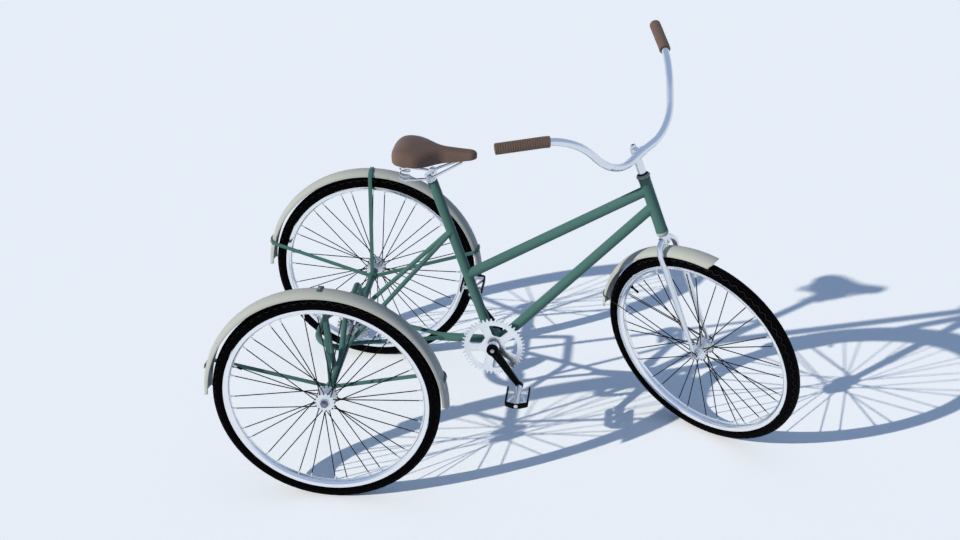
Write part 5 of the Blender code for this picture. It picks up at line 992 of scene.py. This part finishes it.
for word, sign in SIDES.items():
    outward = SIDEWAYS * sign
    lift = sign * CRANK_OFFSET + CRANK_EDGE[:, 1:] * CRANK_HALF - sign * dish
    arm = crank_centre - sign * along[:, None] * crank_ahead + across + np.multiply.outer(lift, SIDEWAYS)
    piece(f"crank_{word}_forged", [arm], black_enamel, "cranks", f"crank_{word}")
    face = crank_centre + outward * bolt_face
    bolt = [turned(CRANK_CAP, face, outward, sides=32)]
    seat = face + outward * CRANK_BOLT_PLACE
    bolt += hex_bolt(seat, outward, CRANK_BOLT_RADIUS, CRANK_BOLT_HEIGHT, washer=False)
    piece(f"crank_bolt_{word}", bolt, bright_steel, "cranks", slot="chrome_plate", bevel=0.0003)

# Pedals: a black pressed steel cage with toothed edges and a shallow pointed end, on an alloy barrel with
# two cross plates, two braces and a pale end cap. The spindle is screwed into the crank's eye.
PEDAL_PIN = outline((0, 72.5), (5, 72.5), (6, 73.5), (6, 89.5), (7.8, 90), (7.8, 91), (6, 91.5), (6, 189.5),
                    (0, 189.5))
PEDAL_BARREL = outline((6.6, 91.5), (9.5, 91.5), (9.5, 105.5), (8, 111.5), (8, 169.5), (9.5, 175.5),
                       (9.5, 195.5), (0, 195.5), (0, 190.5), (6.6, 190.5), (6.6, 91.5))
PEDAL_CAP = outline((0, 196), (7.2, 196), (7.2, 198.6), (6, 199.4), (0, 199.6))
# Corners of the cage: place along the tricycle from the spindle, and out from the middle of the frame.
PEDAL_HALF = 0.033
PEDAL_CORNERS = ((-0.033, 0.0955), (-0.033, 0.1855), (-0.011, 0.197), (0.011, 0.197), (0.033, 0.1855),
                 (0.033, 0.0955))
PEDAL_BENDS, PEDAL_STEPS = (0.006, 0.010, 0.010, 0.006), 241
PEDAL_CAGE_SECTION = slab(0.0175, 0.0046, 0.0012, steps=3)
PEDAL_TOOTH_PITCH, PEDAL_TOOTH_DEPTH, PEDAL_TOOTH_STEEP, PEDAL_TOOTH_WIDE = 0.0095, 0.20, 1.6, 0.5
PEDAL_NOSE_CUT, PEDAL_STRAIGHT, PEDAL_END_ROUND, PEDAL_END_LEFT = 0.25, 0.031, 0.005, 0.09
PEDAL_CROSS_PLACES, PEDAL_CROSS_WAIST = (0.118, 0.1825), 0.75
PEDAL_CROSS_SECTION = slab(0.0044, 0.01085, 0.0006, steps=3)
PEDAL_BRACE, PEDAL_BRACE_SECTION = ((0.006, 0.122), (0.032, 0.1795)), slab(0.008, 0.0046, 0.0006, steps=3)
# Pale enamel makes the round cap a single light dot against the black cage.
pale_cap = painted("pale_cap_enamel", "#e4e8ee", "#d8dde4", "#f2f2ee", roughness=0.40, gloss=0.2)
across = np.linspace(-1, 1, 21)
waist = np.stack((np.ones(21), PEDAL_CROSS_WAIST + (1 - PEDAL_CROSS_WAIST) * np.abs(across)), 1)
for word, sign in SIDES.items():
    eye = crank_centre - sign * CRANK_LENGTH * crank_ahead
    outward = SIDEWAYS * sign
    plane = np.stack((FORWARDS, outward))
    pin = turned(PEDAL_PIN, eye, outward, sides=32)
    piece(f"pedal_spindle_{word}_turned", [pin], bright_steel, "cranks", f"pedal_spindle_{word}")
    # The cage plate is cut down in teeth along its straight sides and rounded off at its two ends.
    path = rounded(eye + np.array(PEDAL_CORNERS) @ plane, PEDAL_BENDS, steps=8)
    place = np.linspace(0, runs(path)[-1], PEDAL_STEPS)
    path = walked(path, place)
    wave = np.cos(place * 2 * np.pi / PEDAL_TOOTH_PITCH)
    gaps = 1 - np.clip(PEDAL_TOOTH_STEEP * wave + PEDAL_TOOTH_WIDE, 0, 1)
    straight = np.abs((path - eye) @ FORWARDS) > PEDAL_STRAIGHT
    ends = np.clip(np.minimum(place, place[-1] - place) / PEDAL_END_ROUND, 0, 1)
    heights = 1 - PEDAL_TOOTH_DEPTH * np.where(straight, gaps, PEDAL_NOSE_CUT)
    heights *= np.sqrt(np.clip(1 - (1 - ends) ** 2, PEDAL_END_LEFT, 1))
    cage = bar(path, PEDAL_CAGE_SECTION, UP, np.stack((heights, np.ones(PEDAL_STEPS)), 1))
    piece(f"pedal_{word}_cage", [cage], black_enamel, f"pedal_{word}", f"pedal_{word}")
    works = [turned(PEDAL_BARREL, eye, outward, sides=36)]
    for side in PEDAL_CROSS_PLACES:
        line = eye + outward * side + np.multiply.outer(across * PEDAL_HALF, FORWARDS)
        works.append(bar(line, PEDAL_CROSS_SECTION, outward, waist))
    for corner in (-1, 1):
        brace = eye + np.array(PEDAL_BRACE) * (corner, 1) @ plane
        works.append(bar(brace, PEDAL_BRACE_SECTION, UP))
    piece(f"pedal_{word}_barrel", works, hub_alloy, f"pedal_{word}", slot="bright_steel")
    cap = turned(PEDAL_CAP, eye, outward, sides=32)
    piece(f"pedal_{word}_end_cap", [cap], pale_cap, f"pedal_{word}", slot="cream_enamel")

# Seat post and saddle frame: a chromed steel post with a collar and a cross clamp, nutted at both ends,
# which grips two bent wire rails. The rails end behind in seats for the springs and in front under the nose.
POST_RADIUS, POST_LENGTH, POST_RISE = 0.0127, 0.200, 0.020
POST_COLLAR = outline((0, -16), (14.9, -16), (15.7, -14), (15.7, 4), (13.7, 7), (0, 7.5))
SEAT_CLAMP_PLACE = (0.0038, 0, -0.0002)
SEAT_CLAMP = outline((0, -37), (8.8, -37), (8.8, -32), (13, -31.8), (13, -25), (11.5, -24.8), (10.5, -24),
                     (10.5, 24), (11.5, 24.8), (13, 25), (13, 31.8), (8.8, 32), (8.8, 37), (0, 37))
CLAMP_NUT_PLACE, CLAMP_NUT_RADIUS, CLAMP_NUT_LENGTH = 0.034, 0.0078, 0.0055
RAIL_RADIUS, RAIL_BEND = 0.0038, 0.020
RAIL_CORNERS = ((-0.0657, 0.045, -0.0012), (0.0038, 0.030, -0.0002), (0.0223, 0.030, 0.0103),
                (0.0983, 0.011, 0.0483))
SPRING_PLACE = (-0.0657, 0.045, 0.0038)
SPRING_SEAT = outline((0, -7), (5, -7), (10, -4), (10, -0.8), (9.2, 0), (0, 0))

post_top = seat_top + seat_line * POST_RISE
post = tube((post_top - seat_line * POST_LENGTH, post_top), POST_RADIUS, sides=44)
piece("seat_post_drawn", [post], chrome, "seat_post", "seat_post")
clamp_middle = post_top + SEAT_CLAMP_PLACE
hardware = [turned(SEAT_CLAMP, clamp_middle, SIDEWAYS), turned(POST_COLLAR, post_top, seat_line)]
spring_feet, nuts = {}, []
for word, sign in SIDES.items():
    corners = np.array(RAIL_CORNERS) * (1, sign, 1)
    hardware.append(tube(post_top + rounded(corners, RAIL_BEND), RAIL_RADIUS, lean=UP, sides=20))
    spring_feet[word] = post_top + np.array(SPRING_PLACE) * (1, sign, 1)
    hardware.append(turned(SPRING_SEAT, spring_feet[word], UP, sides=32))
    outward = SIDEWAYS * sign
    nuts += hex_bolt(clamp_middle + outward * CLAMP_NUT_PLACE, outward, CLAMP_NUT_RADIUS, CLAMP_NUT_LENGTH)
piece("saddle_frame_bent", hardware, chrome, "seat_post", "saddle_frame", bevel=0.0004)
piece("saddle_clamp_nuts", nuts, bright_steel, "seat_post", slot="bright_steel", bevel=0.0004)

# Saddle springs: chromed wire wound in two and a half open turns with a flat half turn at each end.
# They stand between the rails and the saddle and shorten as the rider sits down.
SPRING_LENGTH, SPRING_COIL, SPRING_WIRE, SPRING_TURNS = 0.0433, 0.0145, 0.0022, 2.5
SPRING_STEPS = 120
share = np.linspace(0, 1, SPRING_STEPS)
coil = 2 * np.pi * (SPRING_TURNS + 1) * share
climb = np.clip((share * (SPRING_TURNS + 1) - 0.5) / SPRING_TURNS, 0, 1)
lowest, highest = SPRING_WIRE + SNUG, SPRING_LENGTH - SPRING_WIRE - RUNNING_GAP
rise = lowest + (highest - lowest) * climb
wound = np.stack((SPRING_COIL * np.cos(coil), SPRING_COIL * np.sin(coil), rise), 1)
for word, sign in SIDES.items():
    foot = spring_feet[word]
    spring = tube(foot + wound * (1, sign, 1), SPRING_WIRE, lean=UP, sides=14)
    spring = piece(f"saddle_spring_{word}_wound", [spring], chrome, "seat_post", f"saddle_spring_{word}")
    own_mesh(spring)

# Saddle: brown leather drawn tight over foam on a pressed steel pan, wide and crowned behind, narrow at
# the nose, with its edge turned under the pan. It hinges on the rails at the nose.
SADDLE_BACK, SADDLE_LENGTH = 0.1087, 0.248
SADDLE_REAR_HALF, SADDLE_NOSE_HALF, SADDLE_WIDEST, SADDLE_WAIST = 0.085, 0.0195, 0.26, 0.65
SADDLE_NOSE_TAPER = 0.0050
SADDLE_REAR_DEPTH, SADDLE_NOSE_DEPTH, SADDLE_NOSE_LIFT = 0.059, 0.0195, 0.0105
SADDLE_DISH, SADDLE_SAG, SADDLE_SHOULDER, SADDLE_CROWN = 0.003, 0.008, 0.55, 0.75
SADDLE_EDGE, SADDLE_TAIL_ROUNDING, SADDLE_SKIRT, SADDLE_DRAWN = 0.35, 4.6, 0.36, 0.955
SADDLE_CROWN_ROUNDING, SADDLE_TAIL_FALL = 2.2, 0.60
SADDLE_HEM, SADDLE_HEM_PLACE, SADDLE_HEM_WIDTH = 0.0009, 0.80, 0.10
SADDLE_SKIRT_LIFT, SADDLE_LIFT_FROM, SADDLE_LIFT_RUN, SADDLE_LIFT_BACK = 0.0095, 0.25, 0.40, 0.9
SADDLE_TUCK_STEEP, SADDLE_TUCK_START = 3, 0.3
SADDLE_STATIONS, SADDLE_SECTION = 110, 112
SADDLE_PAN_RISE, SADDLE_PAN_STEEP, SADDLE_PAN_DROP, SADDLE_PAN_LAP = 0.0022, 12, 0.0016, 0.0004
SADDLE_PAN_COLUMNS = slice(70, 99)


def saddle_base(share):
    """Height of the underside along the saddle: a line that climbs to the nose, less a shallow sag,
    level with the top of the springs where they stand."""
    over_springs = (SADDLE_BACK + SPRING_PLACE[0]) / SADDLE_LENGTH
    sag = np.sin(np.pi * share) - np.sin(np.pi * over_springs)
    return SPRING_PLACE[2] + SPRING_LENGTH + SADDLE_NOSE_LIFT * (share - over_springs) - SADDLE_SAG * sag


def saddle_rings(share, section):
    """Sections across the saddle: a flat-bellied oval that is wide and tall behind and slim at the
    nose, with a crowned top, full shoulders and a skirt drawn in below them."""
    past = np.clip((share - SADDLE_WIDEST) / (SADDLE_WAIST - SADDLE_WIDEST), 0, 1)
    slim = SADDLE_NOSE_HALF + SADDLE_NOSE_TAPER * np.clip((1 - share) / (1 - SADDLE_WAIST), 0, 1)
    width = slim + (SADDLE_REAR_HALF - slim) * (np.cos(np.pi * past) / 2 + 0.5)
    behind = 1 - np.clip(share / SADDLE_WIDEST, 0, 1)
    round_tail = np.sqrt(np.clip(1 - behind ** SADDLE_TAIL_ROUNDING, 0, 1))
    nose = SADDLE_NOSE_HALF / SADDLE_LENGTH
    round_nose = np.sqrt(np.clip(1 - np.clip((share - 1 + nose) / nose, 0, 1) ** 2, 0, 1))
    full = np.minimum(round_tail, round_nose)[:, None]
    fall = (1 - behind ** SADDLE_CROWN_ROUNDING) ** SADDLE_TAIL_FALL
    base = saddle_base(share)
    rear_top, nose_top = saddle_base(0.0) + SADDLE_REAR_DEPTH, saddle_base(1.0) + SADDLE_NOSE_DEPTH
    top = rear_top + (nose_top - rear_top) * share - SADDLE_DISH * np.sin(np.pi * share)
    middle = base + (top - base) * SADDLE_EDGE
    turns = 2 * np.pi * np.arange(section) / section
    lift, across = np.sin(turns), np.sign(np.cos(turns)) * np.abs(np.cos(turns)) ** SADDLE_SHOULDER
    tall = (top - middle) * np.minimum(fall, np.sqrt(round_nose))
    crown = tall[:, None] * np.maximum(lift, 0) ** SADDLE_CROWN
    below = np.arcsin(np.clip(-lift, 0, 1)) * 2 / np.pi
    drop = np.clip(below / SADDLE_SKIRT, 0, 1)
    under = np.clip((below - SADDLE_SKIRT) / (1 - SADDLE_SKIRT), 0, 1)
    raised = SADDLE_SKIRT_LIFT * (1 - np.clip((share - SADDLE_LIFT_FROM) / SADDLE_LIFT_RUN, 0, 1)) ** 2
    skirt = (base + raised - middle)[:, None] * np.sin(np.pi / 2 * drop)
    tuck = np.clip(under * SADDLE_TUCK_STEEP - SADDLE_TUCK_START, 0, 1)
    skirt = skirt - (raised * SADDLE_LIFT_BACK)[:, None] * tuck
    wall = 1 - (1 - SADDLE_DRAWN) * drop ** 3
    hem = SADDLE_HEM * np.exp(-((drop - SADDLE_HEM_PLACE) / SADDLE_HEM_WIDTH) ** 2) * np.sign(across)
    across = np.where(lift < 0, np.sign(across) * wall * (1 - under), across)
    side = width[:, None] * full * across + hem * full * (under == 0)
    skirt = skirt + np.clip(under * SADDLE_PAN_STEEP, 0, 1) * SADDLE_PAN_RISE * np.sqrt(full)
    along = np.broadcast_to((SADDLE_LENGTH * share - SADDLE_BACK)[:, None], side.shape)
    return np.stack((along, side, middle[:, None] + crown + skirt), -1)


# Saddle leather is a warm, half-dull brown, mottled by its dye and paler where it is rubbed. Its pores,
# really half a millimetre, are drawn at 1.8 mm so that they show.
leather, tree, shader, place = surface("brown_saddle_leather")
dye = add(tree, "TexNoise", {"Vector": place, "Scale": 1000 / 55, "Detail": 5.0})
tone = add(tree, "Mix", {0: dye, 6: linear("#867169"), 7: linear("#76625a")}, 2, data_type="RGBA")
pores = add(tree, "TexVoronoi", {"Vector": place, "Scale": 1000 / 1.8, "Randomness": 1.0}, "Distance")
crease = add(tree, "MapRange", {"Value": pores, "From Min": 0.35, "From Max": 0.75})
deep = add(tree, "Math", {0: crease, 1: 0.28}, operation="MULTIPLY")
dark = add(tree, "Mix", {0: deep, 6: tone, 7: linear("#4a3a32")}, 2, data_type="RGBA")
raised = add(tree, "NewGeometry", out="Pointiness")
pale_marks = add(tree, "MapRange", {"Value": raised, "From Min": 0.515, "From Max": 0.56})
faded = add(tree, "Math", {0: pale_marks, 1: dye}, operation="MULTIPLY")
worn = add(tree, "Mix", {0: faded, 6: dark, 7: linear("#937e72")}, 2, data_type="RGBA")
dull = add(tree, "MapRange", {"Value": dye, "To Min": 0.42, "To Max": 0.62})
bump = add(tree, "Bump", {"Height": crease, "Strength": 0.35, "Distance": 0.0003}, invert=True)
feed(tree, shader, {"Base Color": worn, "Roughness": dull, "Normal": bump, "Specular IOR Level": 0.14})

share = 0.5 - 0.5 * np.cos(np.pi * np.linspace(0.02, 0.98, SADDLE_STATIONS))
cover = capped(post_top + saddle_rings(share, SADDLE_SECTION))
saddle = piece("saddle_leather", [cover], leather, "saddle", "saddle_cover")
belly = cover[2:-2, SADDLE_PAN_COLUMNS]
pan = np.concatenate((belly - UP * SADDLE_PAN_DROP, belly[:, ::-1] + UP * SADDLE_PAN_LAP), 1)
piece("saddle_pan_pressed", [capped(pan)], black_enamel, "saddle", slot="black_enamel")
